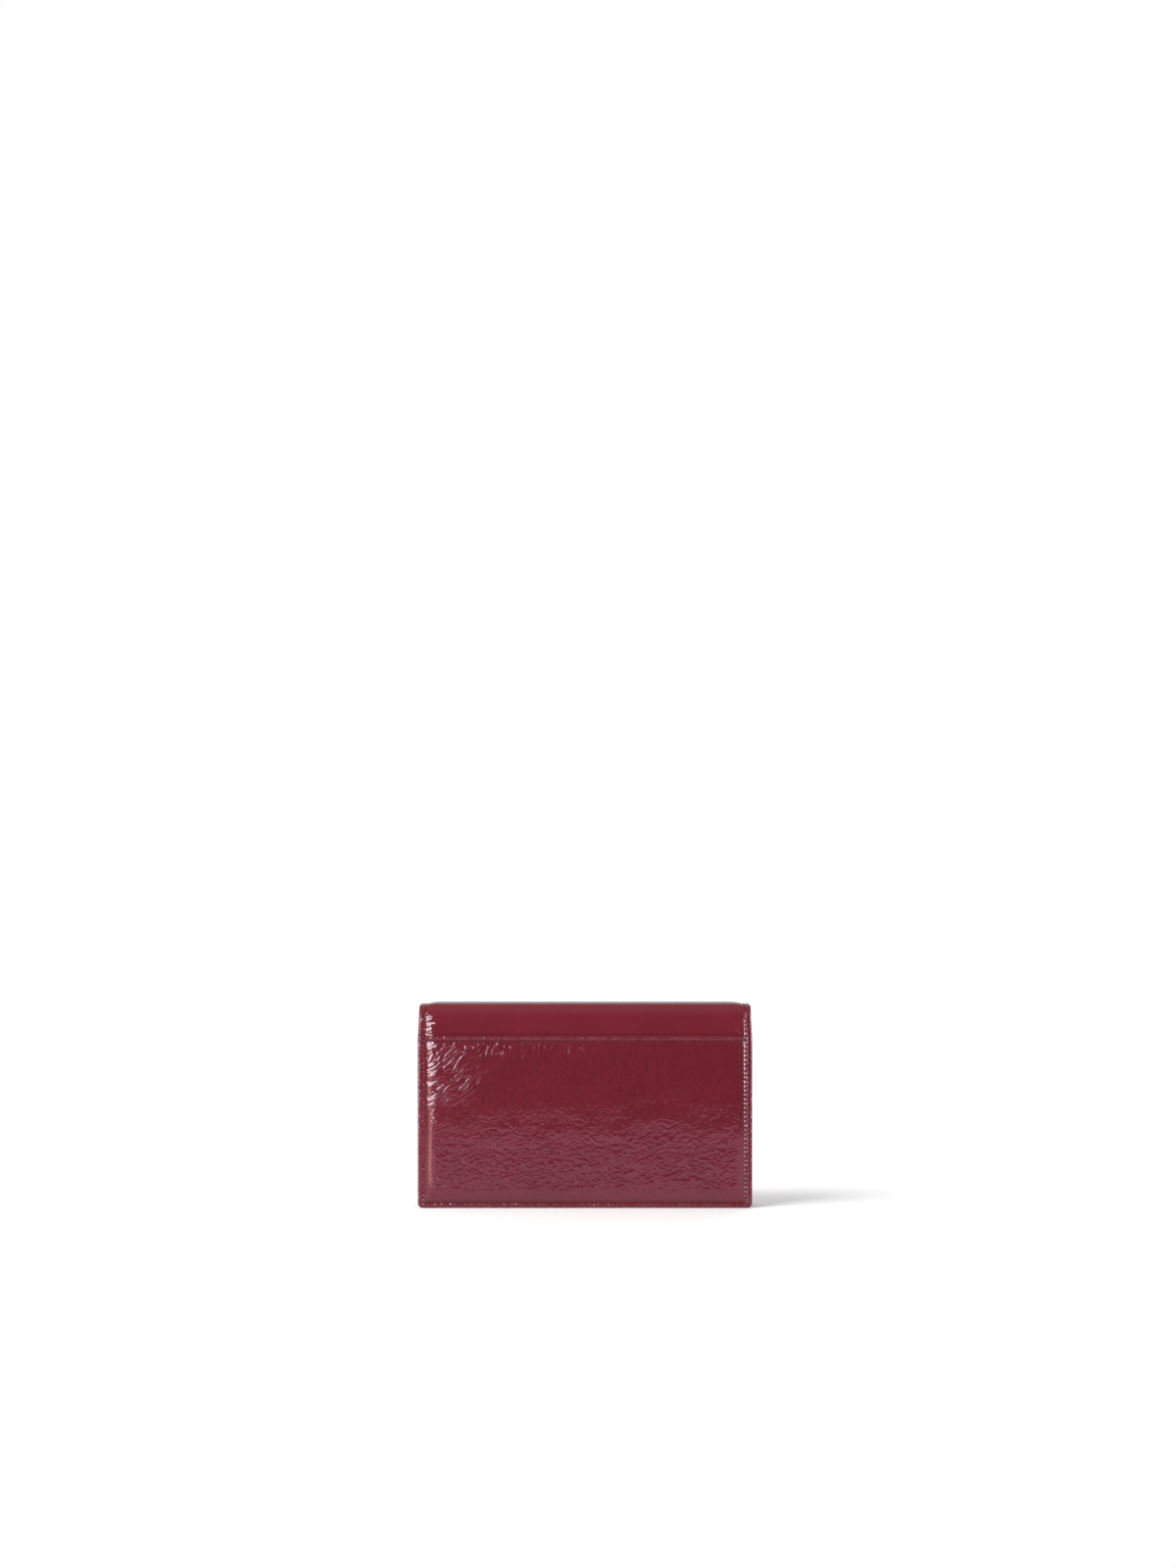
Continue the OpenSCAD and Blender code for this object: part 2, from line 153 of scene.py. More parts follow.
# ---------------------------------------------------------------- leather sheets


def measured(path):
    """How far along a path each of its points is."""
    return np.concatenate([[0], np.cumsum(np.linalg.norm(np.diff(path, axis=0), axis=1))])


class Sheet:
    """Leather that follows a path in Y and Z from its free lower edge, and may be padded in its middle.

    A point on it is (x, s), with s the distance from the free edge. side is -1 if it faces the back, or 1.
    hem is the path of the sewn border, and crown that of the padded middle. The slope between them is pad
    wide.
    """

    def __init__(self, side, hem, half_w, corner_r, crown=None, pad=7.5, top_r=0.0, taper=0.0,
                 open_top=False):
        self.side, self.half_w, self.corner_r, self.pad = side, half_w, corner_r, pad
        self.top_r, self.taper, self.open_top = top_r, taper, open_top
        self.hem = np.asarray(hem, float)
        self.crown = self.hem if crown is None else np.asarray(crown, float)
        self.length = measured(self.hem)[-1]

    def along(self, path, s):
        """The point of a path that is a share s / length of the way along it."""
        walked = measured(path)
        at = s / self.length * walked[-1]
        return np.stack([np.interp(at, walked, path[:, k]) for k in (0, 1)], -1)

    def base(self, s, weight):
        """Y and Z between the hem's path and the crown's."""
        weight = weight[..., None]
        return (1 - weight) * self.along(self.hem, s) + weight * self.along(self.crown, s)

    def raised(self, x, s):
        """How far the padding lifts the leather here, from 0 at the stitches to 1."""
        d = self.edge_distance(x, s) - HEM - 0.3
        return 1 - (1 - np.clip(d / self.pad, 0, 1)) ** 2.2

    def rounded(self, x, s):
        """The grid point that a corner's rounding moves (x, s) to."""
        for r, low in ((self.corner_r, True), (self.top_r, False)):
            if r > 0:
                t = s if low else self.length - s
                a = np.clip((np.abs(x) - (self.half_w - r)) / r, 0, 1)
                b = np.clip((r - t) / r, 0, 1)
                both = (a > 0) & (b > 0)
                x = np.where(both, np.sign(x) * (self.half_w - r + r * a * np.sqrt(1 - b * b / 2)), x)
                t = np.where(both, r - r * b * np.sqrt(1 - a * a / 2), t)
                s = t if low else self.length - t
        return x, s

    def edge_distance(self, x, s, top=False):
        """Distance in from the sides and the lower edge, and from the top edge where it is asked for."""
        d = np.minimum(self.half_w - np.abs(x), s)
        r = self.corner_r
        qx, qs = np.abs(x) - (self.half_w - r), r - s
        d = np.where((qx > 0) & (qs > 0), r - np.hypot(qx, qs), d)
        return np.minimum(d, self.length - s) if top else d

    def place(self, x, s, h):
        """Points of the sheet, h above its outer surface, and the outward normals there."""
        weight = self.raised(x, s)
        here = self.base(s, weight)
        ahead, behind = np.minimum(s + 0.2, self.length), np.maximum(s - 0.2, 0)
        run = self.base(ahead, weight) - self.base(behind, weight)
        run /= np.linalg.norm(run, axis=-1)[..., None]
        ny, nz = self.side * run[..., 1], -self.side * run[..., 0]
        narrowed = self.taper / self.half_w * ease((here[..., 1] - POCKET_TOP + 2) / (TOP_Z - POCKET_TOP))
        points = np.stack([x * (1 - narrowed), here[..., 0] + ny * h, here[..., 1] + nz * h], -1)
        return points, np.stack([np.zeros_like(ny), ny, nz], -1)


def flat_sheet(node, side, r):
    """A flat sheet on one face of a node, with its corners rounded to r."""
    low, high = span(node)
    face_y = high[1] if side > 0 else low[1]
    return Sheet(side, [(face_y, low[2]), (face_y, high[2])], high[0], r, top_r=r, open_top=True)


def roll_path(side, face_y, z0, start_z, half_depth, top_z, end_y, power):
    """A path up a face and over the top: a superellipse from start_z, then level as far as end_y."""
    u = np.linspace(0, 1, 400)
    z = start_z + (top_z - start_z) * np.sin(u * math.pi / 2)
    share = (z - start_z) / (top_z - start_z)
    y = face_y - side * half_depth * (1 - (1 - share ** power) ** (1 / power))
    return np.concatenate([[(face_y, z0)], np.stack([y, z], -1), [(end_y, top_z)]])


def steps(start, end, fine, stops=(), close=0.25, near=0.9):
    """Values from start to end about fine apart, and only close apart near each stop."""
    values = [start]
    while values[-1] < end - 1e-6:
        ahead = [abs(stop - values[-1]) for stop in stops]
        step = close if any(gap < near for gap in ahead) else fine
        values.append(min(end, values[-1] + step))
    return np.array(values)


def make_object(name, verts, faces, material, shade=None, angle=50):
    """A smooth-shaded mesh object from points in millimetres."""
    mesh = bpy.data.meshes.new(name)
    mesh.from_pydata((np.asarray(verts) * MM).tolist(), [], faces)
    mesh.update()
    mesh.polygons.foreach_set("use_smooth", np.ones(len(mesh.polygons), bool))
    mesh.set_sharp_from_angle(angle=math.radians(angle))
    # The shade attribute holds painted shade, which darkens the patent leather's colour.
    if shade is not None:
        layer = mesh.attributes.new("shade", "FLOAT", "POINT")
        layer.data.foreach_set("value", np.asarray(shade, np.float32))
    mesh.materials.append(material)
    obj = bpy.data.objects.new(name, mesh)
    bpy.context.scene.collection.objects.link(obj)
    return obj


def turned_outwards(obj):
    """The same closed piece with its faces turned outwards."""
    turned = bmesh.new()
    turned.from_mesh(obj.data)
    bmesh.ops.recalc_face_normals(turned, faces=turned.faces)
    turned.to_mesh(obj.data)
    turned.free()
    return obj


def strip(a, b):
    """Quads between two rows of vertex numbers."""
    return np.stack([a[:-1], a[1:], b[1:], b[:-1]], -1)


def flat_end(ring, way):
    """One face across the end of a tube, wound forwards (1) or backwards (-1)."""
    return [ring[::way].tolist()]


def tubes(name, stacks, material, ends=flat_end, angle=50, way=1, end_way=-1):
    """One object of closed tubes, each a stack of rings of points with faces across its end rings.

    way and end_way are 1 or -1, the winding of the faces along a tube and at its first end.
    """
    verts, faces, start = [], [], 0
    for stack in stacks:
        rings, sides = stack.shape[:2]
        grid = start + np.arange(rings * sides).reshape(rings, sides)
        start += rings * sides
        loops = np.concatenate([grid, grid[:, :1]], 1)
        for a, b in zip(loops, loops[1:]):
            faces += strip(a, b)[:, ::way].tolist()
        faces += ends(grid[0], end_way) + ends(grid[-1], -end_way)
        verts.append(stack.reshape(-1, 3))
    return make_object(name, np.concatenate(verts), faces, material, angle=angle)


def leather_piece(name, sheet, height, thickness, material, columns, rows, bevel=0.3, inner_x=()):
    """A closed sheet with its outer face raised by height(x, s), and a plain inner face.

    thickness is a number or a function of x and s, which is followed at the border and at inner_x, left and
    right.
    """
    x, s = np.meshgrid(columns, rows)
    x, s = sheet.rounded(x, s)
    rim = sheet.edge_distance(x, s, top=sheet.open_top)
    lift, shade = height(x, s)
    lift = lift - bevel * (1 - np.clip(rim / (bevel * 1.6), 0, 1)) ** 2
    outer = sheet.place(x, s, lift)[0].reshape(-1, 3)
    inner = sheet.place(x, s, -(thickness(x, s) if callable(thickness) else thickness))[0]
    n_rows, n_cols = x.shape
    grid = np.arange(x.size).reshape(n_rows, n_cols)
    inner_x = [*(-at for at in inner_x[::-1]), *inner_x]
    picked = [0, n_cols - 1, *(int(np.argmin(np.abs(columns - at))) for at in inner_x)]
    bottom = x.size + np.arange(n_cols)
    top = bottom + n_cols
    uprights = top[-1] + 1 + np.arange(len(picked) * (n_rows - 2)).reshape(len(picked), n_rows - 2)
    left = np.concatenate([bottom[:1], uprights[0], top[:1]])
    right = np.concatenate([bottom[-1:], uprights[1], top[-1:]])
    uprights = np.concatenate([uprights[:1], uprights[2:], uprights[1:2]])
    pairs = [*zip(grid, grid[1:]), (bottom, grid[0]), (grid[-1], top), (grid[:, 0], left)]
    pairs += [(right, grid[:, -1]), *zip(uprights, uprights[1:])]
    faces = np.concatenate([strip(a, b) for a, b in pairs]).tolist()
    faces.append([*bottom[::-1].tolist(), *uprights[:, 0].tolist()])
    faces.append([*top.tolist(), *uprights[::-1, -1].tolist()])
    if sheet.side > 0:
        faces = [face[::-1] for face in faces]
    verts = np.concatenate([outer, inner[0], inner[-1], *(inner[1:-1, k] for k in picked)])
    shade = np.concatenate([shade.reshape(-1), np.zeros(len(verts) - x.size)])
    return make_object(name, verts, faces, material, shade)


def rounded_path(points, r, n=5):
    """A path with its corners turned on a curve that starts up to r before each."""
    points = [np.array(p, float) for p in points]
    out = [points[0]]
    for before, here, after in zip(points, points[1:], points[2:]):
        a, b = before - here, after - here
        a *= min(r, 0.45 * np.linalg.norm(a)) / np.linalg.norm(a)
        b *= min(r, 0.45 * np.linalg.norm(b)) / np.linalg.norm(b)
        for t in np.linspace(0, 1, n):
            out.append(here + a * (1 - t) ** 2 + b * t * t)
    out.append(points[-1])
    return np.array(out)


def ribbon(path, t, caps=4):
    """A closed outline t thick round an open path, and the outward direction at each of its points."""
    run = np.diff(path, axis=0)
    run /= np.linalg.norm(run, axis=1)[:, None]
    run = np.concatenate([run[:1], run[:-1] + run[1:], run[-1:]])
    run /= np.linalg.norm(run, axis=1)[:, None]
    out = np.stack([run[:, 1], -run[:, 0]], -1)
    turn = np.linspace(0, math.pi, caps + 2)[1:-1, None]
    cap_end = out[-1] * np.cos(turn) + run[-1] * np.sin(turn)
    cap_start = -out[0] * np.cos(turn) - run[0] * np.sin(turn)
    end, start = np.repeat(path[-1:], caps, 0), np.repeat(path[:1], caps, 0)
    middles = np.concatenate([path, end, path[::-1], start])
    away = np.concatenate([out, cap_end, -out[::-1], cap_start])
    return middles + away * t / 2, away


def ribbon_end(ring, way):
    """Faces across the end of a rim: a strip between its two sides, and its round tips."""
    half = len(ring) // 2 - RIM_CAPS
    across_it = strip(ring[:half], ring[half + RIM_CAPS:2 * half + RIM_CAPS][::-1])
    tips = ring[half - 1:half + RIM_CAPS + 1], np.append(ring[2 * half + RIM_CAPS - 1:], ring[0])
    return across_it[:, ::way].tolist() + [tip.tolist() for tip in tips]


def swept(name, path, t, axis, low, high, material, step=2.5, relief=0.05, lump=5.0, seed=7, caps=4,
          inset=0.12, ends=flat_end, end_way=-1):
    """A soft strip t thick, whose section follows a path across an axis, with slimmer rings at its ends.

    axis is 0, 1 or 2 for X, Y or Z, and the path is in the other two.
    """
    at = np.arange(low + step, high - step / 2, step)
    at = np.concatenate([[low, low + END_BEVEL], at, [high - END_BEVEL, high]])
    full, away = ribbon(path, t, caps)
    slim = ribbon(path, t - 2 * inset, caps)[0]
    along = measured(full)
    stack = []
    for i, position in enumerate(at):
        wave = relief * noise(along / lump, position / lump + 0 * along, seed)
        ring = (slim if i in (0, len(at) - 1) else full) + away * wave[:, None]
        stack.append(np.insert(ring, axis, position, axis=1))
    return turned_outwards(tubes(name, [np.array(stack)], material, ends, end_way=end_way))


END_BEVEL = 0.12
RIM_CAPS = 2


def stitch_groove(d, along):
    """The furrow that a row of stitches pulls into leather, with its needle holes, and the painted shade in
    the furrow and the holes.
    """
    furrow = np.exp(-((d / 0.5) ** 2))
    phase = (along / PITCH - np.round(along / PITCH)) * PITCH
    hole = np.exp(-((d / 0.4) ** 2) - (phase / 0.45) ** 2)
    # The second value is painted shade: a darker colour in the furrow and the needle holes.
    return -0.14 * furrow - 0.25 * hole, 0.15 * furrow + 0.75 * hole


# ---------------------------------------------------------------- materials


def feed(tree, node, inputs):
    """Gives a node's inputs their values, each a number, a colour, a vector or another node's output."""
    for key, value in inputs.items():
        socket = node.inputs[key]
        if isinstance(value, bpy.types.NodeSocket):
            tree.links.new(value, socket)
        elif socket.type == "RGBA":
            socket.default_value = (*value, 1)
        else:
            socket.default_value = value


def new_material(name):
    """A material with a Principled shader, and its node tree and shader."""
    material = bpy.data.materials.new(name)
    material.use_nodes = True
    tree = material.node_tree
    tree.nodes.clear()
    output = tree.nodes.new("ShaderNodeOutputMaterial")
    shader = tree.nodes.new("ShaderNodeBsdfPrincipled")
    tree.links.new(shader.outputs["BSDF"], output.inputs["Surface"])
    return material, tree, shader


def object_coords(tree, scale=(1, 1, 1), lean=0.0):
    """Object coordinates, in metres, leaned sideways by an angle and then stretched by scale."""
    coords = tree.nodes.new("ShaderNodeTexCoord")
    mapping = tree.nodes.new("ShaderNodeMapping")
    mapping.vector_type = "TEXTURE"
    feed(tree, mapping, {"Vector": coords.outputs["Object"], "Rotation": (0, lean, 0),
                         "Scale": tuple(1 / k for k in scale)})
    return mapping.outputs["Vector"]


def texture(tree, kind, coords, **inputs):
    """A texture node on those coordinates."""
    node = tree.nodes.new(kind)
    feed(tree, node, {"Vector": coords, **inputs})
    return node


def speckle(tree, coords, scale, detail, roughness=0.5, distortion=0.0):
    """Noise of 0 to 1 on those coordinates."""
    node = texture(tree, "ShaderNodeTexNoise", coords, Scale=scale, Detail=detail, Roughness=roughness,
                   Distortion=distortion)
    return node.outputs["Fac"]


def bands(tree, scale, direction, distortion=0.0, detail=2.0):
    """A wave texture with its bands in that direction."""
    node = texture(tree, "ShaderNodeTexWave", object_coords(tree), Scale=scale, Distortion=distortion,
                   Detail=detail)
    node.bands_direction = direction
    return node


def calculated(tree, operation, first, second=0.0):
    """The result of a math node."""
    node = tree.nodes.new("ShaderNodeMath")
    node.operation = operation
    feed(tree, node, {0: first, 1: second})
    return node.outputs["Value"]


def mix_colours(tree, factor, first, second):
    """A colour between two, each a colour or an output."""
    node = tree.nodes.new("ShaderNodeMix")
    node.data_type = "RGBA"
    feed(tree, node, {0: factor, 6: first, 7: second})
    return node.outputs[2]


def darker(colour, share):
    """A share of a colour."""
    return tuple(c * share for c in colour)


def ramp(tree, value, low, high, start=0.0, end=1.0):
    """A value mapped from low..high to start..end, and held there."""
    node = tree.nodes.new("ShaderNodeMapRange")
    feed(tree, node, {"Value": value, "From Min": low, "From Max": high, "To Min": start, "To Max": end})
    return node.outputs["Result"]


def bump(tree, height, distance, **before):
    """A normal from a height of 0 to 1 that stands for distance in metres, on top of a Normal before it."""
    node = tree.nodes.new("ShaderNodeBump")
    feed(tree, node, {"Height": height, "Distance": distance, "Strength": 1.0, **before})
    return node.outputs["Normal"]


def patent_material(name, lined):
    """Coated leather: mottled dye under a clear film, with fine upright lines in it if it is lined, and
    painted shade in its stitch holes, creases and fine lines.
    """
    material, tree, shader = new_material(name)
    coords = object_coords(tree)
    mottle = speckle(tree, coords, 55.0, 5.0, 0.6)
    fine = speckle(tree, coords, 900.0, 3.0, 0.6)
    shade = tree.nodes.new("ShaderNodeAttribute")
    shade.attribute_name = "shade"
    # Painted shade: a dark colour that is mixed into the dye in recesses.
    painted_shade_colour = darker(PATENT_DARK, 0.12)
    base = mix_colours(tree, ramp(tree, mottle, 0.3, 0.7), PATENT_DARK, PATENT)
    base = mix_colours(tree, ramp(tree, fine, 0.35, 0.65, 0.0, 0.22), base, PATENT_DARK)
    # Painted shade from the shade attribute: stitch holes, furrows and crease valleys.
    base = mix_colours(tree, shade.outputs["Fac"], base, painted_shade_colour)
    film = bump(tree, speckle(tree, coords, 420.0, 2.0), 0.00001)
    if lined:
        stretched = object_coords(tree, (1.0, 1.0, 0.24), LINE_LEAN)
        waved = speckle(tree, stretched, 400.0, 2.0, distortion=2.0)
        ridges = calculated(tree, "PINGPONG", waved, LINE_SPACING)
        film = bump(tree, ramp(tree, ridges, 0.0, LINE_SPACING), 0.000008, Normal=film)
        # Painted shade along the valleys of the fine lines.
        base = mix_colours(tree, ramp(tree, ridges, 0.0, 0.07, 0.26, 0.0), base, painted_shade_colour)
    feed(tree, shader, {
        "Base Color": base, "Roughness": ramp(tree, mottle, 0.3, 0.7, 0.5, 0.4), "Specular IOR Level": 0.05,
        "Normal": bump(tree, fine, 0.00012),
        "Coat Weight": 1.0, "Coat Roughness": 0.035, "Coat IOR": 1.5, "Coat Normal": film})
    return material


def leather_material(name, colour, dark, roughness, grain=0.00009, pebble=1400.0):
    """Plain leather with pebbled grain, for the inside."""
    material, tree, shader = new_material(name)
    coords = object_coords(tree)
    cells = texture(tree, "ShaderNodeTexVoronoi", coords, Scale=pebble)
    cells.feature = "DISTANCE_TO_EDGE"
    mottle = speckle(tree, coords, 70.0, 6.0, 0.6)
    pores = ramp(tree, cells.outputs["Distance"], 0.0, 0.25)
    base = mix_colours(tree, ramp(tree, mottle, 0.3, 0.7), dark, colour)
    creased = speckle(tree, coords, 240.0, 4.0, 0.6)
    feed(tree, shader, {
        "Base Color": mix_colours(tree, pores, darker(dark, 0.6), base),
        "Roughness": ramp(tree, mottle, 0.3, 0.7, roughness + 0.06, roughness - 0.06),
        "Normal": bump(tree, creased, grain * 2, Normal=bump(tree, pores, grain)),
        "Specular IOR Level": 0.35})
    return material


def metal_material(name, colour, roughness):
    """Plated metal with fine rubbing marks."""
    material, tree, shader = new_material(name)
    marks = speckle(tree, object_coords(tree, (1, 6, 1)), 1500.0, 4.0, 0.7)
    tarnish = speckle(tree, object_coords(tree), 160.0, 3.0)
    worn = ramp(tree, tarnish, 0.35, 0.75, 0.0, 0.5)
    feed(tree, shader, {
        "Base Color": mix_colours(tree, worn, colour, darker(colour, 0.7)),
        "Roughness": ramp(tree, marks, 0.3, 0.7, roughness - 0.05, roughness + 0.1),
        "Normal": bump(tree, marks, 0.00001), "Metallic": 1.0})
    return material


def thread_material(name, colour):
    """Twisted thread, with painted shade in the grooves of its twist."""
    material, tree, shader = new_material(name)
    twist = bands(tree, 900.0, "DIAGONAL", 1.5, 1.0).outputs["Fac"]
    # The colour is darkened where the twist is low: painted shade.
    feed(tree, shader, {
        "Base Color": mix_colours(tree, twist, darker(colour, 0.45), colour),
        "Roughness": ramp(tree, twist, 0, 1, 0.75, 0.55),
        "Normal": bump(tree, twist, 0.00008), "Specular IOR Level": 0.25})
    return material


def weave_material(name, colour, pitch):
    """Woven tape: threads over and under, a pitch apart in metres, with painted shade where they pass
    under.
    """
    material, tree, shader = new_material(name)
    warp, weft = (bands(tree, 1 / pitch / 3.2, direction).outputs["Color"] for direction in ("X", "Z"))
    checks = texture(tree, "ShaderNodeTexChecker", object_coords(tree), Scale=1 / pitch)
    height = mix_colours(tree, checks.outputs["Fac"], warp, weft)
    # The colour is darkened where the weave lies low: painted shade.
    feed(tree, shader, {
        "Base Color": mix_colours(tree, height, darker(colour, 0.5), colour), "Roughness": 0.85,
        "Normal": bump(tree, height, 0.0001), "Sheen Weight": 0.3})
    return material


def board_material(name, colour):
    """Pressed fibre board."""
    material, tree, shader = new_material(name)
    fibres = speckle(tree, object_coords(tree, (1, 1, 5)), 500.0, 5.0)
    feed(tree, shader, {
        "Base Color": mix_colours(tree, ramp(tree, fibres, 0.3, 0.7), darker(colour, 0.7), colour),
        "Normal": bump(tree, fibres, 0.0001), "Roughness": 0.9})
    return material


LINE_LEAN = math.radians(14)
LINE_SPACING = 0.09
PATENT = (0.174, 0.0138, 0.0268)
PATENT_DARK = (0.149, 0.0112, 0.0218)
patent = patent_material("patent_leather", lined=False)
lined_patent = patent_material("lined_patent_leather", lined=True)
lining = leather_material("lining_leather", (0.115, 0.014, 0.022), (0.085, 0.010, 0.016), 0.55)
card = leather_material("card_leather", (0.135, 0.015, 0.024), (0.105, 0.011, 0.018), 0.42, 0.00006, 1900.0)
edge_paint = leather_material(
    "edge_paint", (0.150, 0.017, 0.027), (0.125, 0.013, 0.021), 0.38, 0.00002, 700.0)
thread = thread_material("thread", (0.34, 0.020, 0.036))
tape = weave_material("zip_tape", (0.090, 0.010, 0.017), 0.0005)
gold = metal_material("gold_plate", (0.80, 0.58, 0.27), 0.22)
board = board_material("board", (0.30, 0.25, 0.19))
magnet = board_material("magnet", (0.06, 0.06, 0.065))
foam = board_material("foam", (0.55, 0.53, 0.48))


# ---------------------------------------------------------------- the outer leather


def crinkle(x, z, seed):
    """Height of the creases in a padded panel, and the painted shade in their valleys.

    Crossing folds press into its lower half, curved ones fan round its upper left corner, and faint upright
    ones fill the rest.
    """
    spread = noise(x / 24, z / 14, seed + 50) * 13
    low = ease((62 - z + spread) / 46) * ease((z - 7 - spread * 0.1) / 3)
    reach = np.hypot(x - FAN_X, z - FAN_Z)
    turned = np.arctan2(x - FAN_X, FAN_Z - z) * 60
    corner = ease((z - 52 - spread * 0.5) / 16) * ease((-46 - x + spread) / 26)
    corner = np.maximum(corner, ease((26 - x + spread) / 30) * ease((z - 82 - spread * 0.6) / 9))
    creased = crossed(x, z, 25, -23, 14.0, 2.5, seed)
    fine = crossed(x, z, 8, -38, 6.0, 1.7, seed + 20)
    long_folds = crossed(x, z, 16, -12, 26.0, 5.5, seed + 40)
    fanned = wrinkles(turned, reach, 0, 15.0, 3.2, seed + 100, 0.35)
    upright = crossed(x, z, 84, 66, 9.0, 2.0, seed + 200, 0.55)
    waves = noise(x / 17, z / 9, seed + 300)
    pressed = np.exp(-creased / 0.16) + 0.3 * np.exp(-fine / 0.15)
    height = low * (0.07 * creased - 0.15 * pressed + 0.14 * np.minimum(long_folds, 0.25))
    height = height - 0.26 * corner * (1 - low) * np.exp(-fanned / 0.17) + 0.05 * waves * ease((z - 6) / 8)
    height = height - 0.05 * (1 - low) * (1 - corner) * ease((z - 8) / 6) * np.exp(-upright / 0.25)
    # Painted shade: the colour is darkened in the valleys of the creases.
    valleys = low * np.exp(-creased / 0.09) + 0.8 * corner * (1 - low) * np.exp(-fanned / 0.08)
    valleys = valleys + (1 - low) * (1 - corner) * 0.3 * np.exp(-upright / 0.2)
    return height, 0.26 * np.clip(valleys, 0, 1)


def hem_roll(d, along, seed):
    """The rounded border outside the stitches, puckered by them."""
    share = np.clip(d / HEM, 0, 1)
    arch = 4 * share * (1 - share)
    puckers = noise(along / 1.25, d / 1.6, seed) + 0.6 * noise(along / 3.1, d / 2.5, seed + 1)
    return arch * (0.13 + 0.12 * puckers)


def pocket_height(x, s):
    """The slip pocket's relief: its sewn hem, its creases and its row of stitches along the mouth, with the
    painted shade in their furrows, holes and valleys.
    """
    d = pocket.edge_distance(x, s)
    groove, dark = stitch_groove(d - HEM, np.where(s < HEM + 1, x, s))
    mouth = pocket.length - s
    inside = ease((d - HEM) / 0.5)
    row, row_dark = stitch_groove(mouth - MOUTH_ROW, x)
    dip = -0.10 * inside * np.exp(-(((mouth - MOUTH_ROW) / 1.6) ** 2))
    creases, valleys = crinkle(x, s, 11)
    plain = ease((d - HEM - 0.6 - 3 * ease((60 - s) / 20)) / 4) * ease((mouth - 3) / 1.5)
    puckered = 0.6 + 0.4 * ease((x + 70) / 20) + 1.0 * ease((9 - s) / 5)
    border = hem_roll(d, np.where(s < HEM + 1, x, s), 15) * puckered
    border = border + 1.5 * hem_roll(mouth * HEM / MOUTH_ROW, x, 16) * inside
    height = groove + row * inside + dip + creases * plain + border
    # The second value is painted shade for the colour.
    return height, np.clip(dark + row_dark * inside + valleys * plain, 0, 1)


def smooth_waves(x, s, seed):
    """The slight unevenness of leather stretched over a padded roll."""
    return 0.02 * noise(x / 7, s / 3, seed) + 0.008 * noise(x / 1.6, s / 1.3, seed + 1)


def band_height(x, s):
    """The back panel above the pocket, and the roll over the top, with the painted shade in its stitch
    holes.
    """
    d = back_sheet.half_w - np.abs(x)
    groove, dark = stitch_groove(d - HEM, s)
    gathers = 0.16 * np.exp(-(((d - HEM - 3) / 4) ** 2)) * noise(x / 3.4, s / 2.2, 37)
    gathers = gathers * ease((d - HEM) / 1.5)
    return groove + smooth_waves(x, s, 31) * ease((d - HEM) / 4) + gathers + hem_roll(d, s, 17), dark


def flap_height(x, s):
    """The flap's relief, and the roll over the top, with the painted shade in its stitch holes and crease
    valleys.
    """
    d = flap_sheet.edge_distance(x, s)
    groove, dark = stitch_groove(d - HEM, np.where(s < HEM + 6, x, s))
    creases, valleys = crinkle(-x, s + 8, 61)
    flat = ease((flap_sheet.length - 34 - s) / 16)
    inner = ease((d - HEM - 0.6) / 3)
    border = hem_roll(d, np.where(s < HEM + 6, x, s), 19)
    height = groove + (creases * flat + smooth_waves(x, s, 33)) * inner + border
    return height, np.clip(dark + valleys * flat * inner, 0, 1)


def front_height(x, s):
    """The front board's leather, mostly under the flap, with the painted shade in its stitch holes and
    crease valleys.
    """
    d = front_sheet.edge_distance(x, s, top=True)
    sideways = (s < HEM + 1) | (front_sheet.length - s < HEM + 1)
    groove, dark = stitch_groove(d - HEM, np.where(sideways, x, s))
    creases, valleys = crinkle(x, s + 8, 91)
    inner = ease((d - HEM - 0.6) / 3)
    return groove + creases * inner, np.clip(dark + valleys * inner, 0, 1)


FAN_X, FAN_Z = -112.0, 120.0
MOUTH_ROW = 2.7
BAND_CROWN = 0.8
SLIP_X = 90.0


def pocket_thickness(x, s):
    """The slip pocket's thickness: all of the way to the panel at its hem, and open behind its middle."""
    return 0.98 + 0.22 * ease((SLIP_X - np.abs(x)) / 0.5) * ease((s - 3) / 0.5)


POCKET_CROWN = [(POCKET_FACE_Y, 0.0), (POCKET_FACE_Y - 0.1, 45.0), (POCKET_FACE_Y, POCKET_TOP)]
pocket = Sheet(-1, [(POCKET_HEM_Y, 0.0), (POCKET_HEM_Y, POCKET_TOP)], pocket_high[0], 3.0, POCKET_CROWN,
               top_r=0.6, open_top=True)
back_sheet = Sheet(
    -1, roll_path(-1, BACK_FACE_Y, 0.0, ROLL_Z, FOLD_R, HEM_TOP_Z, SEAM_Y, 2.0), pocket_high[0] - 0.1, 3.0,
    roll_path(-1, BACK_FACE_Y - BAND_CROWN, 0.0, CROWN_START_Z, 5.8, TOP_Z, SEAM_Y, 3.5),
    pad=7.0, taper=0.65)
flap_sheet = Sheet(
    1, roll_path(1, FLAP_HEM_Y, flap_low[2], ROLL_Z, FOLD_R, HEM_TOP_Z, SEAM_Y, 2.0), flap_high[0] + 0.4,
    FLAP_CORNER_R,
    roll_path(1, FLAP_FACE_Y, flap_low[2], CROWN_START_Z, 5.9, TOP_Z, SEAM_Y, 3.2),
    pad=9.0, taper=0.65)
front_sheet = flat_sheet("front_panel", 1, 3.0)


def fold_thickness(sheet, flat, folded):
    """A thickness function: flat on the boards, and folded where the wallet folds."""
    def thickness(x, s):
        z = sheet.along(sheet.hem, s)[..., 1]
        return flat + (folded - flat) * ease((z - FOLD_FROM_Z) / 4)
    return thickness


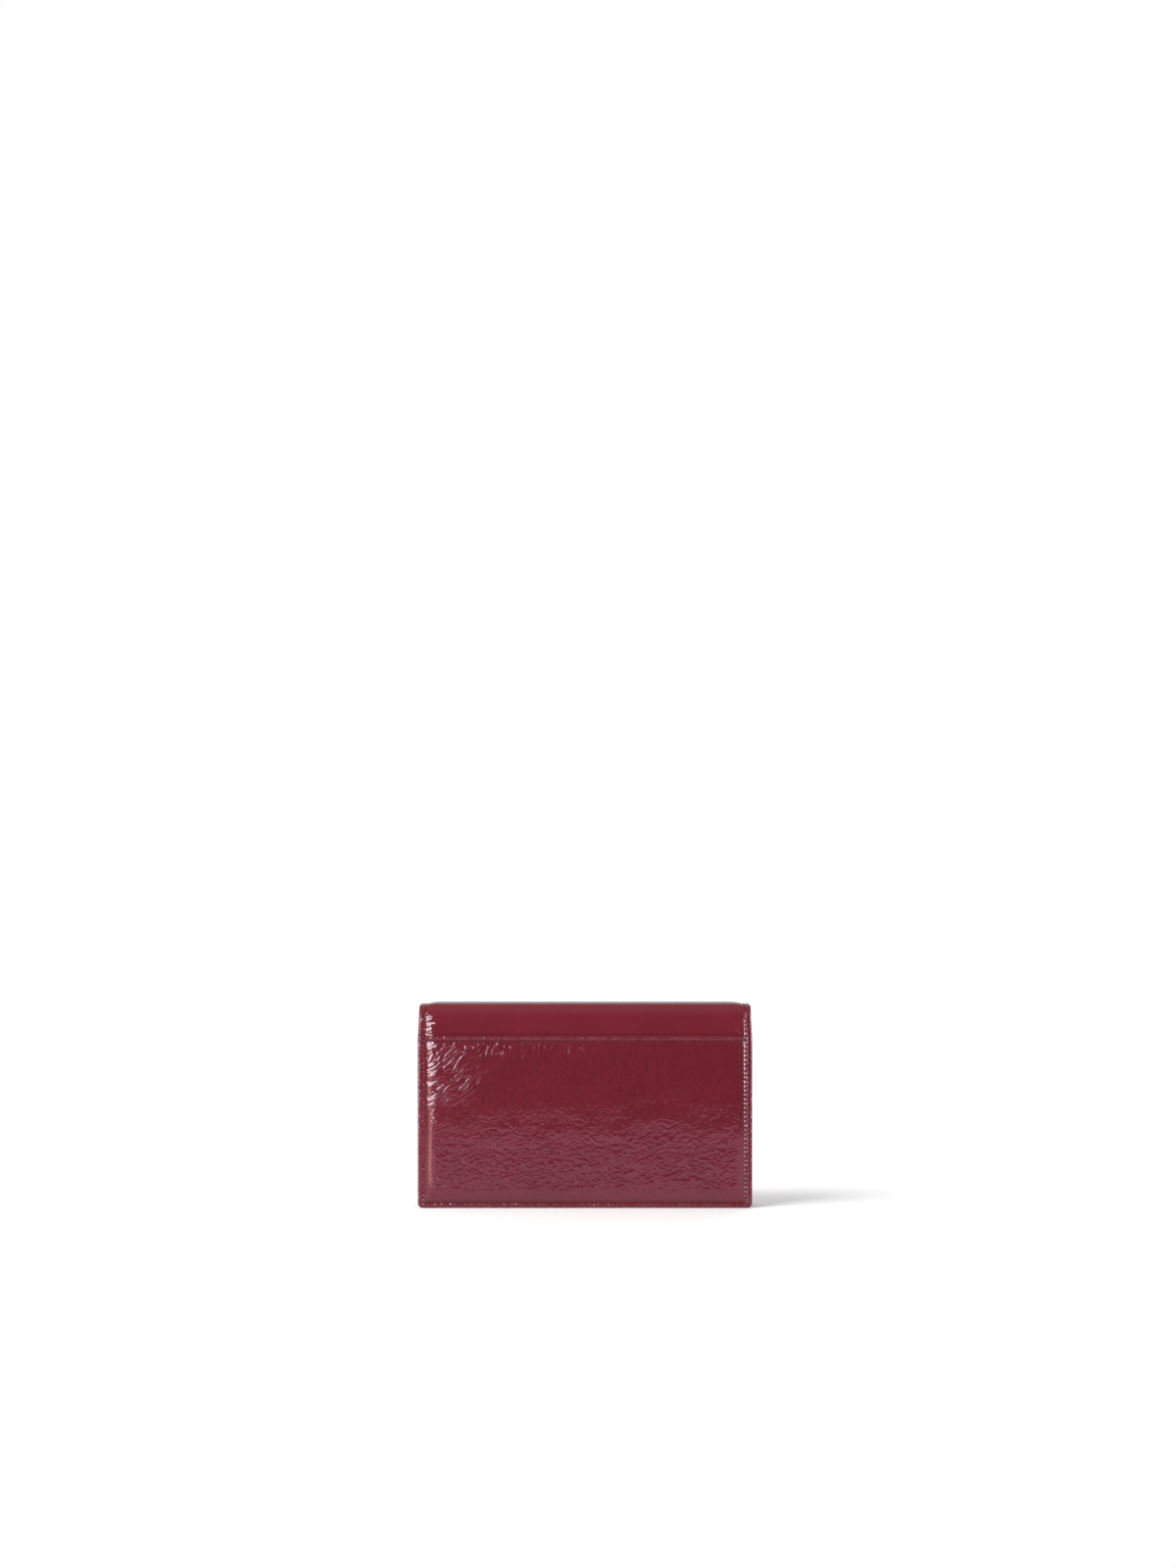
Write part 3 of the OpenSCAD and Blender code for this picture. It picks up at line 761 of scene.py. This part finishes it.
FOLD_FROM_Z = 104.0
LEATHER_FOLD_T = 0.5
LINING_FOLD_T = 0.85
GRID = 0.62
ROW_GRID = 0.32
FRONT_CREASED_Z = 46
POCKET_INNER_X = (82, 84.5, 86.5, 88, 89.3, 90.2)
FLAP_INNER_X = (80, 83, 86, 88, 90)


def across(sheet, fine=GRID, stops=()):
    """A sheet's columns, closer together along its side stitches and at any other stops."""
    right = steps(0, sheet.half_w, fine, (sheet.half_w - HEM, *stops))
    return np.concatenate([-right[:0:-1], right])


def finish_leather(piece, slot, body, *nodes):
    """Hides the CAD nodes that a piece stands for, and hangs it on the body that it rides on; the material
    slot is not used.
    """
    if nodes:
        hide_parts(*nodes)
    if body:
        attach(piece, body)
    return piece


pocket_leather = finish_leather(
    leather_piece("pocket_leather", pocket, pocket_height, pocket_thickness, lined_patent, across(pocket),
                  steps(0, pocket.length, ROW_GRID, (HEM, pocket.length - MOUTH_ROW), close=0.2),
                  inner_x=POCKET_INNER_X),
    "patent_leather", "back", "back_pocket", "back_pocket_padding")

hidden_rows = np.linspace(0, POCKET_TOP - 5, 14)
back_leather = finish_leather(
    leather_piece("back_and_top_leather", back_sheet, band_height,
                  fold_thickness(back_sheet, LEATHER_T, LEATHER_FOLD_T), patent, across(back_sheet),
                  np.concatenate([hidden_rows[:-1], steps(hidden_rows[-1], back_sheet.length, ROW_GRID)])),
    "patent_leather", None, "back_panel", "top_band")

flap_leather = finish_leather(
    leather_piece("flap_and_top_leather", flap_sheet, flap_height,
                  fold_thickness(flap_sheet, LEATHER_T, LEATHER_FOLD_T), patent, across(flap_sheet),
                  steps(0, flap_sheet.length, ROW_GRID, (HEM,), close=0.2),
                  inner_x=FLAP_INNER_X),
    "patent_leather", None, "flap_outer")

creased_rows = steps(0, FRONT_CREASED_Z, 0.36, (HEM,))
plain_rows = steps(FRONT_CREASED_Z, front_sheet.length, 1.0, (front_sheet.length - HEM,))
finish_leather(
    leather_piece("front_leather", front_sheet, front_height, LEATHER_T, patent, across(front_sheet),
                  np.concatenate([creased_rows, plain_rows[1:]])),
    "patent_leather", "front_board", "front_panel")


# ---------------------------------------------------------------- stitches

STITCH_L = 1.5
STITCH_W = 0.44
STITCH_H = 0.3
STITCH_LIFT = 0.03
STITCH_SIDES = 6
STITCH_LEAN = (0.985, 0.17)
STITCH_ARCH = ((-1.0, 0.3, -0.18), (-0.82, 0.85, 0.0), (-0.35, 1.0, 0.07), (0.35, 1.0, 0.07),
               (0.82, 0.85, 0.0), (1.0, 0.3, -0.18))


def stitches(name, rows):
    """Rows of thread as one object. Each row is a sheet, and the x and s of points along it."""
    angles = np.arange(STITCH_SIDES)[:, None] * 2 * math.pi / STITCH_SIDES
    stacks = []
    for sheet, x, s in rows:
        points, normals = sheet.place(x, s, 0.0)
        walked = measured(points)
        count = max(1, int(round(walked[-1] / PITCH)))
        for m in (np.arange(count) + 0.5) * walked[-1] / count:
            ends = np.stack([np.interp([m - 0.3, m + 0.3], walked, points[:, k]) for k in range(3)], -1)
            run = (ends[1] - ends[0]) / np.linalg.norm(ends[1] - ends[0])
            normal = np.array([np.interp(m, walked, normals[:, k]) for k in range(3)])
            beside = np.cross(normal, run)
            run = run * STITCH_LEAN[0] + beside * STITCH_LEAN[1]
            stack = []
            for u, fat, arch in STITCH_ARCH:
                middle = ends.mean(0) + run * (u * STITCH_L / 2) + normal * (STITCH_LIFT + arch)
                wide = beside * (np.cos(angles) * fat * STITCH_W / 2)
                stack.append(middle + wide + normal * (np.sin(angles) * fat * STITCH_H / 2))
            stacks.append(np.array(stack))
    return tubes(name, stacks, thread, angle=80, way=-1, end_way=1)


def hem_line(sheet, top, inset=HEM):
    """The x and s of the row of stitches round a sheet's sides and lower edge, up to s = top."""
    w, r = sheet.half_w - inset, max(sheet.corner_r - inset, 0.4)
    turn = np.linspace(0, math.pi / 2, 8)
    x = np.concatenate([np.full(60, -w), -w + r - r * np.cos(turn)])
    s = np.concatenate([np.linspace(top, inset + r, 60), inset + r - r * np.sin(turn)])
    floor = np.linspace(-w + r, w - r, 80)
    return np.concatenate([x, floor, -x[::-1]]), np.concatenate([s, np.full(80, inset), s[::-1]])


def level_line(end, s):
    """A row of stitches across a sheet, as far as end from its middle."""
    return np.linspace(-end, end, 60), np.full(60, s)


def upright_line(x, s0, s1):
    """A row of stitches up a sheet."""
    return np.full(80, x), np.linspace(s0, s1, 80)


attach(stitches("pocket_stitches", [
    (pocket, *hem_line(pocket, pocket.length - 0.5)),
    (pocket, *level_line(pocket.half_w - HEM - 1.2, pocket.length - MOUTH_ROW)),
]), "back")
side_x = back_sheet.half_w - HEM
back_stitches = stitches("band_stitches", [
    (back_sheet, *upright_line(side * side_x, POCKET_TOP + 1, back_sheet.length - 1)) for side in (-1, 1)])
flap_stitches = stitches("flap_stitches", [(flap_sheet, *hem_line(flap_sheet, flap_sheet.length - 1))])
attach(stitches("front_stitches", [
    (front_sheet, *hem_line(front_sheet, front_sheet.length - HEM)),
    (front_sheet, *level_line(front_sheet.half_w - HEM, front_sheet.length - HEM)),
]), "front_board")


# ---------------------------------------------------------------- linings and rims

LINING_R = FOLD_R - LEATHER_T - LINING_T / 2 - 0.02
LINING_X = panel_half_w - 0.4
LINING_SEAM = 2.7
LINING_FLAT_T = LINING_T - 0.02


def lining_path(side, middle_y, z0):
    """The path of a lining's visible face: up a board from z0, and on under the fold to the seam."""
    face_y = middle_y - side * LINING_T / 2
    r = LINING_R - LINING_T / 2
    centre_y = (BACK_FACE_Y if side < 0 else FLAP_HEM_Y) - side * FOLD_R
    turn = np.radians(np.linspace(25, 90, 40))
    arc = np.stack([centre_y + side * r * np.cos(turn), ROLL_Z + r * np.sin(turn)], -1)
    share = np.linspace(0, 1, 20)
    lead_y = face_y + (arc[0][0] - face_y) * ease(share)
    lead = np.stack([lead_y, ROLL_Z - 4 + (arc[0][1] - ROLL_Z + 4) * share], -1)
    return np.concatenate([[(face_y, z0)], lead[:-1], arc, [(SEAM_Y, ROLL_Z + r)]])


def lining_relief(sheet, stitched, seed):
    """A lining's relief, with a furrow along its border where it is stitched."""
    def height(x, s):
        d = sheet.edge_distance(x, s)
        groove, dark = stitch_groove(d - LINING_SEAM, np.where(s < HEM + 6, x, s))
        return 0.6 * stitched * groove + 0.05 * noise(x / 8, s / 8, seed) * ease(d / 6), stitched * dark
    return height


back_lining_y = span("back_card_tier_1")[0][1] - LINING_T / 2
flap_lining_y = (flap_lining_low[1] + flap_lining_high[1]) / 2
back_inside = Sheet(1, lining_path(-1, back_lining_y, span("back_lining")[0][2]), LINING_X, 2.6)
back_lining = finish_leather(
    leather_piece(
        "back_and_top_lining", back_inside, lining_relief(back_inside, False, 40),
        fold_thickness(back_inside, LINING_FLAT_T, LINING_FOLD_T), lining, across(back_inside, 2.0),
        np.concatenate([np.arange(0, 100, 4.0), steps(100, back_inside.length, 0.5)]), bevel=0.15),
    "lining_leather", None, "back_lining", "top_lining")


def cut_round(obj, x, z, radius, y0, y1):
    """Cuts a round hole along Y through a piece."""
    turn = np.arange(HOLE_SIDES) * 2 * math.pi / HOLE_SIDES
    ring = np.stack([x + radius * np.cos(turn), 0 * turn, z + radius * np.sin(turn)], -1)
    cutter = turned_outwards(tubes("cutter", [np.array([ring + (0, y0, 0), ring + (0, y1, 0)])], lining))
    cutter.data.shade_flat()
    hole = obj.modifiers.new("hole", "BOOLEAN")
    hole.operation = "DIFFERENCE"
    hole.object = cutter
    bpy.context.view_layer.update()
    cut = bpy.data.meshes.new_from_object(obj.evaluated_get(bpy.context.evaluated_depsgraph_get()))
    obj.modifiers.clear()
    obj.data = cut
    bpy.data.objects.remove(cutter)


HOLE_SIDES = 48
SNAP_Z = (socket_low[2] + socket_high[2]) / 2
WINDOW_R = (socket_high[2] - socket_low[2]) / 2 + 0.3
flap_inside = Sheet(-1, lining_path(1, flap_lining_y, flap_lining_low[2]), LINING_X, FLAP_CORNER_R - 0.8)
flap_lining_height = lining_relief(flap_inside, True, 41)
flap_lining = leather_piece(
    "flap_and_top_lining", flap_inside, flap_lining_height,
    fold_thickness(flap_inside, LINING_FLAT_T, LINING_FOLD_T), lining, across(flap_inside, 0.8),
    steps(0, flap_inside.length, 0.6, (LINING_SEAM,)), bevel=0.15)
cut_round(flap_lining, 0.0, SNAP_Z, WINDOW_R, flap_lining_low[1] - 1, flap_lining_high[1] + 1)
finish_leather(flap_lining, "lining_leather", None, "flap_lining")
flap_lining_stitches = stitches("flap_lining_stitches", [
    (flap_inside, *hem_line(flap_inside, flap_inside.length - 1, LINING_SEAM))])

for piece in (back_leather, back_stitches, back_lining):
    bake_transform(piece)
for piece in (flap_leather, flap_stitches, flap_lining, flap_lining_stitches):
    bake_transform(piece)


def plain_relief(x, s):
    """Relief for leather that has no stitches of its own."""
    return 0.05 * noise(x / 9, s / 9, 43), 0 * x


front_lining_sheet = flat_sheet("front_lining", -1, 2.5)
finish_leather(
    leather_piece("front_lining_leather", front_lining_sheet, plain_relief, LINING_T, lining,
                  across(front_lining_sheet, 2.0), steps(0, front_lining_sheet.length, 2.0), bevel=0.12),
    "lining_leather", "front_board", "front_lining")


def rim(name, y, half_w, r, z0, z1, body, closed_top=False):
    """The painted edge between a board's two leathers: a thin bead round its sides and lower edge."""
    turn = np.linspace(0, math.pi / 2, 7)
    x = np.concatenate([[-half_w], -half_w + r - r * np.cos(turn)])
    z = np.concatenate([[z1], z0 + r - r * np.sin(turn)])
    path = np.stack([np.concatenate([x, -x[::-1]]), np.concatenate([z, z[::-1]])], -1)
    if closed_top:
        path = np.concatenate([path, [(half_w - 1, z1 + 0.8), (-half_w + 1, z1 + 0.8), (-half_w, z1)]])
    bead = swept(name, path, RIM_W, 1, y - RIM_T / 2, y + RIM_T / 2, edge_paint, relief=0.0, caps=RIM_CAPS,
                 inset=0.15, ends=ribbon_end, end_way=1)
    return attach(bead, body)


RIM_W = 1.1
RIM_T = 0.82
RIM_R = 2.4
BACK_RIM_Y, FRONT_RIM_Y, FLAP_RIM_Y = -11.5, 10.6, 13.0
rim("back_rim", BACK_RIM_Y, panel_half_w - RIM_W / 2 - 0.1, RIM_R, 0.6, ROLL_Z - 2, "back")
rim("front_rim", FRONT_RIM_Y, front_high[0] - RIM_W / 2 - 0.1, RIM_R, 0.6, front_high[2] - 2.0,
    "front_board", closed_top=True)
rim("flap_rim", FLAP_RIM_Y, flap_high[0] - RIM_W / 2 - 0.2, FLAP_CORNER_R - 0.8, flap_low[2] + 0.7,
    ROLL_Z - 2, "flap")


# ---------------------------------------------------------------- card tiers

CREASE_DROP = 1.5
TIER_SEAM = 86.0


def tier_relief(sheet, seed):
    """A card tier's relief: the creased line below its edge, and the furrows of its seams."""
    def height(x, s):
        crease = np.exp(-(((sheet.length - s - CREASE_DROP) / 0.28) ** 2))
        seam = np.exp(-((x / 0.5) ** 2)) + np.exp(-(((np.abs(x) - TIER_SEAM) / 0.5) ** 2))
        lift = 0.03 * noise(x / 9, s / 9, seed) - 0.09 * crease - 0.1 * seam
        return lift, 0.4 * crease + 0.25 * np.clip(seam, 0, 1)
    return height


def card_tiers(board, side):
    """Four stepped card tiers on one board, with the stitches that divide them."""
    sheets = []
    for i in range(1, 5):
        node = f"{board}_card_tier_{i}"
        low, high = span(node)
        sheet = flat_sheet(node, side, 0.5)
        piece = leather_piece(
            f"{node}_leather", sheet, tier_relief(sheet, 200 + i), high[1] - low[1] - 0.03, card,
            across(sheet, 3.0, (0.0, TIER_SEAM)),
            steps(0, sheet.length, 3.0, (sheet.length - CREASE_DROP,)), bevel=0.12)
        finish_leather(piece, "card_leather", BODY_OF_BOARD[board], node)
        sheets.append(sheet)
    rows = []
    for sheet, hidden in zip(sheets, [*(upper.length for upper in sheets[1:]), 2]):
        for x in (0.0, -TIER_SEAM, TIER_SEAM):
            rows.append((sheet, *upright_line(x, hidden + 0.6, sheet.length - 2.4)))
    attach(stitches(f"{board}_tier_stitches", rows), BODY_OF_BOARD[board])


BODY_OF_BOARD = {"back": "back", "front": "front_board"}
card_tiers("back", 1)
card_tiers("front", -1)


# ---------------------------------------------------------------- gussets, floors and the coin pocket

wall_front_low, wall_front_high = span("coin_wall_front")
COIN_Y = (span("coin_wall_back")[1][1] + wall_front_low[1]) / 2
COIN_OUT = wall_front_high[1] - COIN_Y
SOFT_R = 1.6
GUSSET_Z = (8.5, 96.0)
GUSSET_OUT_X, GUSSET_HEM_X, GUSSET_WALL_X = 93.0, 90.2, 91.0
FOLD_X = 76.0
TIER_X = 88.0


def gusset(board, side):
    """A gusset, from its hem on a board in to its fold and out to the coin pocket's wall."""
    way = -1 if board == "back" else 1
    tiers_y = span(f"{board}_card_tier_4")[0 if way > 0 else 1][1] - way * GUSSET_T / 2
    hem_y = span(f"{board}_card_tier_1")[1 if way > 0 else 0][1] - way * GUSSET_T / 2
    wall_y = COIN_Y + way * (COIN_OUT + GUSSET_T / 2)
    fold_y = (tiers_y + wall_y) / 2
    path = rounded_path([
        (GUSSET_OUT_X, hem_y), (GUSSET_HEM_X, hem_y), (TIER_X + 0.9, tiers_y - way * 0.2),
        (FOLD_X, fold_y + way * 0.4), (FOLD_X, fold_y - way * 0.4),
        (TIER_X + 0.6, wall_y + way * 0.35), (GUSSET_WALL_X, wall_y)], SOFT_R)
    path = path * np.array([1 if side == "right" else -1, 1])
    piece = swept(f"{board}_gusset_{side}_leather", path, GUSSET_T - SLACK, 2, *GUSSET_Z, lining,
                  relief=0.12, lump=9.0, seed=50 + way)
    finish_leather(piece, "lining_leather", None, f"{board}_gusset_{side}")
    join(piece)


def join(piece):
    """Bakes the placing of a soft piece that lies between a board and the coin pocket into its mesh."""
    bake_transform(piece)


def floor_strip(board):
    """The folded strip between a board and the coin pocket, under a note compartment."""
    way = -1 if board == "back" else 1
    low, high = span(f"{board}_floor")
    outer, inner = (low[1], high[1]) if way < 0 else (high[1], low[1])
    outer, inner = outer - way * GUSSET_T / 2, inner + way * GUSSET_T / 2
    middle = (outer + inner) / 2
    path = rounded_path([(outer, 8.0), (outer, 3.2), (middle, 1.6), (inner, 3.2), (inner, 8.0)], SOFT_R)
    piece = swept(f"{board}_floor_leather", path, GUSSET_T - SLACK, 0, low[0], high[0], lining, relief=0.06,
                  seed=60 + way)
    finish_leather(piece, "lining_leather", None, f"{board}_floor")
    join(piece)


for board_name in ("back", "front"):
    floor_strip(board_name)
    for side_name in ("left", "right"):
        gusset(board_name, side_name)


def wall_relief(sheet, seed):
    """A coin pocket wall's relief: the row of stitches that holds the zip's tape."""
    def height(x, s):
        groove, dark = stitch_groove(sheet.length - s - WALL_ROW, x)
        return groove * 0.7 + 0.05 * noise(x / 10, s / 10, seed), dark
    return height


WALL_ROW = 3.0
for node, side in (("coin_wall_back", -1), ("coin_wall_front", 1)):
    low, high = span(node)
    wall = flat_sheet(node, side, 1.0)
    relief = wall_relief(wall, 70 + side)
    finish_leather(
        leather_piece(f"{node}_leather", wall, relief, high[1] - low[1], lining, across(wall, 1.6),
                      steps(0, wall.length, 1.6, (wall.length - WALL_ROW,)), bevel=0.15),
        "lining_leather", "coin_pocket", node)
    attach(stitches(f"{node}_stitches", [
        (wall, *level_line(wall.half_w - 3, wall.length - WALL_ROW))]), "coin_pocket")

COIN_T = 1.5
for node, axis in (("coin_base", 0), ("coin_side_left", 2), ("coin_side_right", 2)):
    low, high = span(node)
    ys = (low[1] + COIN_T / 2, 0.0 if axis == 0 else COIN_Y, high[1] - COIN_T / 2)
    path = [(y, low[2] + COIN_T / 2) if axis == 0 else ((low[0] + high[0]) / 2, y) for y in ys]
    finish_leather(swept(f"{node}_leather", np.array(path), COIN_T - SLACK, axis, low[axis], high[axis],
                         lining, relief=0.03), "lining_leather", "coin_pocket", node)


# ---------------------------------------------------------------- the zip

TAPE_T = 0.5


def zip_half(side_name, side):
    """One side of the zip: its folded tape, and its row of teeth on a cord."""
    node = f"zip_tape_{side_name}"
    low, high = span(node)
    outer = (high[1] if side > 0 else low[1]) - side * TAPE_T / 2
    inner = (low[1] if side > 0 else high[1]) + side * TAPE_T / 2
    path = rounded_path([(outer, low[2] + TAPE_T / 2), (outer, high[2] - TAPE_T / 2),
                         (inner - side * 0.25, high[2] - TAPE_T / 2)], 0.5)
    finish_leather(swept(f"{node}_cloth", path, TAPE_T - SLACK, 0, low[0], high[0], tape, relief=0.03,
                         lump=3.0), "zip_tape", "coin_pocket", node)
    node = f"zip_teeth_{side_name}"
    low, high = span(node)
    first = low[0] + (0 if side > 0 else TOOTH_PITCH / 2) + TOOTH_W / 2
    count = int((high[0] - low[0] - TOOTH_PITCH) / TOOTH_PITCH)
    middle_z, half_h = (low[2] + high[2]) / 2, (high[2] - low[2]) / 2
    root = high[1] if side > 0 else low[1]
    tip = COIN_Y - side * TOOTH_CROSS
    turn = np.arange(TOOTH_SIDES) * 2 * math.pi / TOOTH_SIDES
    wide, tall = (np.sign(wave) * np.abs(wave) ** TOOTH_SQUARE for wave in (np.cos(turn), np.sin(turn)))
    tooth = np.array([np.column_stack([
        wide * TOOTH_W / 2 * fat, np.full(TOOTH_SIDES, root + (tip - root) * share),
        middle_z + tall * half_h * (0.55 + 0.45 * fat)]) for share, fat in TOOTH_SHAPE])
    teeth = tubes(f"{node}_metal", [tooth + (first + i * TOOTH_PITCH, 0, 0) for i in range(count)], gold,
                  angle=60, way=side, end_way=side)
    finish_leather(teeth, "zip_metal", "coin_pocket", node)
    cord = np.array([(root - side * 0.05, middle_z - 0.3), (root - side * 0.05, middle_z + 0.3)])
    finish_leather(swept(f"zip_cord_{side_name}", cord, 0.5, 0, low[0], high[0], tape, step=1.05,
                         relief=0.06, lump=0.9), "zip_tape", "coin_pocket")


TOOTH_PITCH = 2.1
TOOTH_W = 0.95
TOOTH_CROSS = 0.33
TOOTH_SIDES = 10
TOOTH_SQUARE = 0.55
TOOTH_SHAPE = ((0.0, 0.8), (0.08, 0.98), (0.4, 0.95), (0.55, 0.8), (0.68, 0.95), (0.88, 1.0), (0.97, 0.85),
               (1.0, 0.5))
zip_half("back", -1)
zip_half("front", 1)


# ---------------------------------------------------------------- what is carried over from the frame

NODE_MATERIALS = {
    "patent_leather": patent, "lining_leather": lining, "card_leather": card, "stiffener_board": board,
    "foam": foam, "zip_tape": tape, "zip_metal": gold, "snap_metal": gold, "magnet": magnet,
}
ROUNDED_NODES = ("zip_stop_left", "zip_stop_right", "zip_slider", "zip_pull", "snap_socket", "snap_stud",
                 "snap_socket_plate", "snap_stud_washer")
for entry in frame["record"]["subparts"]:
    node = frame["nodes"][entry["node"]]
    node.data.materials.clear()
    node.data.materials.append(NODE_MATERIALS[entry["material_slot"]])
for name in ROUNDED_NODES:
    edges = frame["nodes"][name].modifiers.new("soft_edges", "BEVEL")
    edges.width = 0.12 * MM
    edges.segments = 2
    edges.limit_method = "ANGLE"
    edges.angle_limit = math.radians(35)
    edges.harden_normals = True


# ---------------------------------------------------------------- camera, floor and light


def look_at(obj, target):
    """Turns a light or camera towards a point in metres."""
    obj.rotation_euler = (Vector(target) - obj.location).to_track_quat("-Z", "Y").to_euler()


DISTANCE = 2.2
PICTURE_HEIGHT = 0.891
camera_data = bpy.data.cameras.new("camera")
camera = bpy.data.objects.new("camera", camera_data)
camera_data.sensor_fit = "AUTO"
camera_data.sensor_width = 36
camera_data.lens = 36 * DISTANCE / PICTURE_HEIGHT
camera_data.clip_start = 0.05
camera.location = (0.0017, -DISTANCE - 0.0138, 0.241)
camera.rotation_euler = (math.pi / 2, 0, 0)
bpy.context.scene.collection.objects.link(camera)
bpy.context.scene.camera = camera


def stage_plane(name, low, high, z, material):
    """A level rectangle between two corners, in metres."""
    mesh = bpy.data.meshes.new(name)
    corners = [(low[0], low[1], z), (high[0], low[1], z), (high[0], high[1], z), (low[0], high[1], z)]
    mesh.from_pydata(corners, [], [(0, 1, 2, 3)])
    mesh.materials.append(material)
    plane = bpy.data.objects.new(name, mesh)
    bpy.context.scene.collection.objects.link(plane)
    return plane


def floor_material():
    """Matt white."""
    material, tree, shader = new_material("floor_white")
    feed(tree, shader, {
        "Base Color": (0.95, 0.95, 0.95), "Roughness": 1.0, "Specular IOR Level": 0.0,
        "Emission Color": (1, 1, 1), "Emission Strength": 0.04})
    return material


def mirrored_material():
    """What the gloss sees of the floor, as a glowing plane: a painted reflection, pale rose near the
    wallet, and dark further off.
    """
    material, tree, shader = new_material("floor_mirrored")
    tree.nodes.remove(shader)
    glow = tree.nodes.new("ShaderNodeEmission")
    length = tree.nodes.new("ShaderNodeVectorMath")
    length.operation = "LENGTH"
    feed(tree, length, {0: object_coords(tree, (0.8, 1.0, 1.0))})
    away = length.outputs["Value"]
    near = mix_colours(tree, ramp(tree, away, 0.06, 0.20), (1.06, 0.84, 0.99), (1.62, 0.93, 1.21))
    feed(tree, glow, {"Color": mix_colours(tree, ramp(tree, away, 0.42, 0.56), near, (0.05, 0.045, 0.05))})
    feed(tree, tree.nodes["Material Output"], {"Surface": glow.outputs["Emission"]})
    return material


white = floor_material()
NEAR = 0.8
near_floor = stage_plane("near_floor", (-NEAR, -NEAR), (NEAR, NEAR), 0.0, white)
far_floor = stage_plane("far_floor", (-12, -12), (12, 12), -0.0004, white)
# A glowing plane that only the gloss sees: the painted reflection of the floor.
mirrored_floor = stage_plane("mirrored_floor", (-NEAR, -NEAR), (NEAR, NEAR), -0.0002, mirrored_material())
near_floor.visible_glossy = False
far_floor.visible_glossy = False
far_floor.visible_camera = False
mirrored_floor.visible_camera = False
mirrored_floor.visible_diffuse = False
mirrored_floor.visible_shadow = False


def softbox(name, location, target, size, energy, colour, gloss=True, fill=True):
    """A rectangular area light that the camera doesn't see, left out of the gloss or the fill if asked."""
    data = bpy.data.lights.new(name, "AREA")
    data.shape = "RECTANGLE"
    data.size, data.size_y = size
    data.energy = energy
    data.color = colour
    light = bpy.data.objects.new(name, data)
    light.location = location
    light.visible_camera = False
    light.visible_glossy = gloss
    light.visible_diffuse = fill
    look_at(light, target)
    bpy.context.scene.collection.objects.link(light)


CENTRE = (0, 0, 0.06)
softbox("key", (-0.85, -0.75, 1.30), CENTRE, (0.9, 0.9), 23, (1.0, 0.985, 0.97), gloss=False)
softbox("fill_right", (1.3, -1.1, 0.7), CENTRE, (0.7, 0.9), 2.5, (0.98, 0.99, 1.0))
softbox("rear", (0.3, 1.5, 1.0), CENTRE, (1.2, 0.8), 10, (1.0, 1.0, 1.0), gloss=False)
softbox("window_left", (-0.43, -0.90, 0.165), (-0.08, 0, 0.1), (0.30, 0.30), 4.0, (0.93, 0.90, 1.0),
        fill=False)
softbox("strip_right", (0.85, -0.72, 0.16), (0.09, 0, 0.06), (0.22, 0.5), 6.0, (1.0, 0.93, 0.97),
        fill=False)
softbox("window_rear", (0.62, 0.95, 0.30), CENTRE, (0.25, 0.7), 3.2, (1.0, 0.96, 0.96), fill=False)
softbox("reflector_left", (-0.136, -0.127, 0.047), (-0.088, -0.013, 0.047), (0.026, 0.092), 0.032,
        (1.0, 0.53, 0.44), fill=False)


def make_world():
    """White behind the object for the camera, a plain studio for everything that its gloss reflects."""
    world = bpy.data.worlds.new("studio")
    bpy.context.scene.world = world
    world.use_nodes = True
    tree = world.node_tree
    tree.nodes.clear()
    output = tree.nodes.new("ShaderNodeOutputWorld")
    background = tree.nodes.new("ShaderNodeBackground")
    coords = tree.nodes.new("ShaderNodeTexCoord")
    split = tree.nodes.new("ShaderNodeSeparateXYZ")
    feed(tree, split, {"Vector": coords.outputs["Generated"]})
    x, y, z = split.outputs
    aside = ramp(tree, calculated(tree, "ABSOLUTE", x), 0.16, 0.40)
    level = mix_colours(tree, aside, (0.036, 0.031, 0.036), (0.13, 0.105, 0.125))
    low = mix_colours(tree, ramp(tree, z, 0.16, 0.38), level, (0.28, 0.27, 0.28))
    high = mix_colours(tree, ramp(tree, z, 0.38, 0.5), low, (0.44, 0.42, 0.38))
    behind = mix_colours(tree, ramp(tree, y, 0.90, 0.985), high, (0.36, 0.35, 0.37))
    path = tree.nodes.new("ShaderNodeLightPath")
    fill = mix_colours(tree, path.outputs["Is Diffuse Ray"], behind, (0.5, 0.5, 0.505))
    seen = mix_colours(tree, path.outputs["Is Camera Ray"], fill, (1.0, 1.0, 1.0))
    feed(tree, background, {"Color": seen})
    feed(tree, output, {"Surface": background.outputs["Background"]})


make_world()
bpy.context.scene.view_settings.view_transform = "Standard"
bpy.context.scene.view_settings.look = "None"
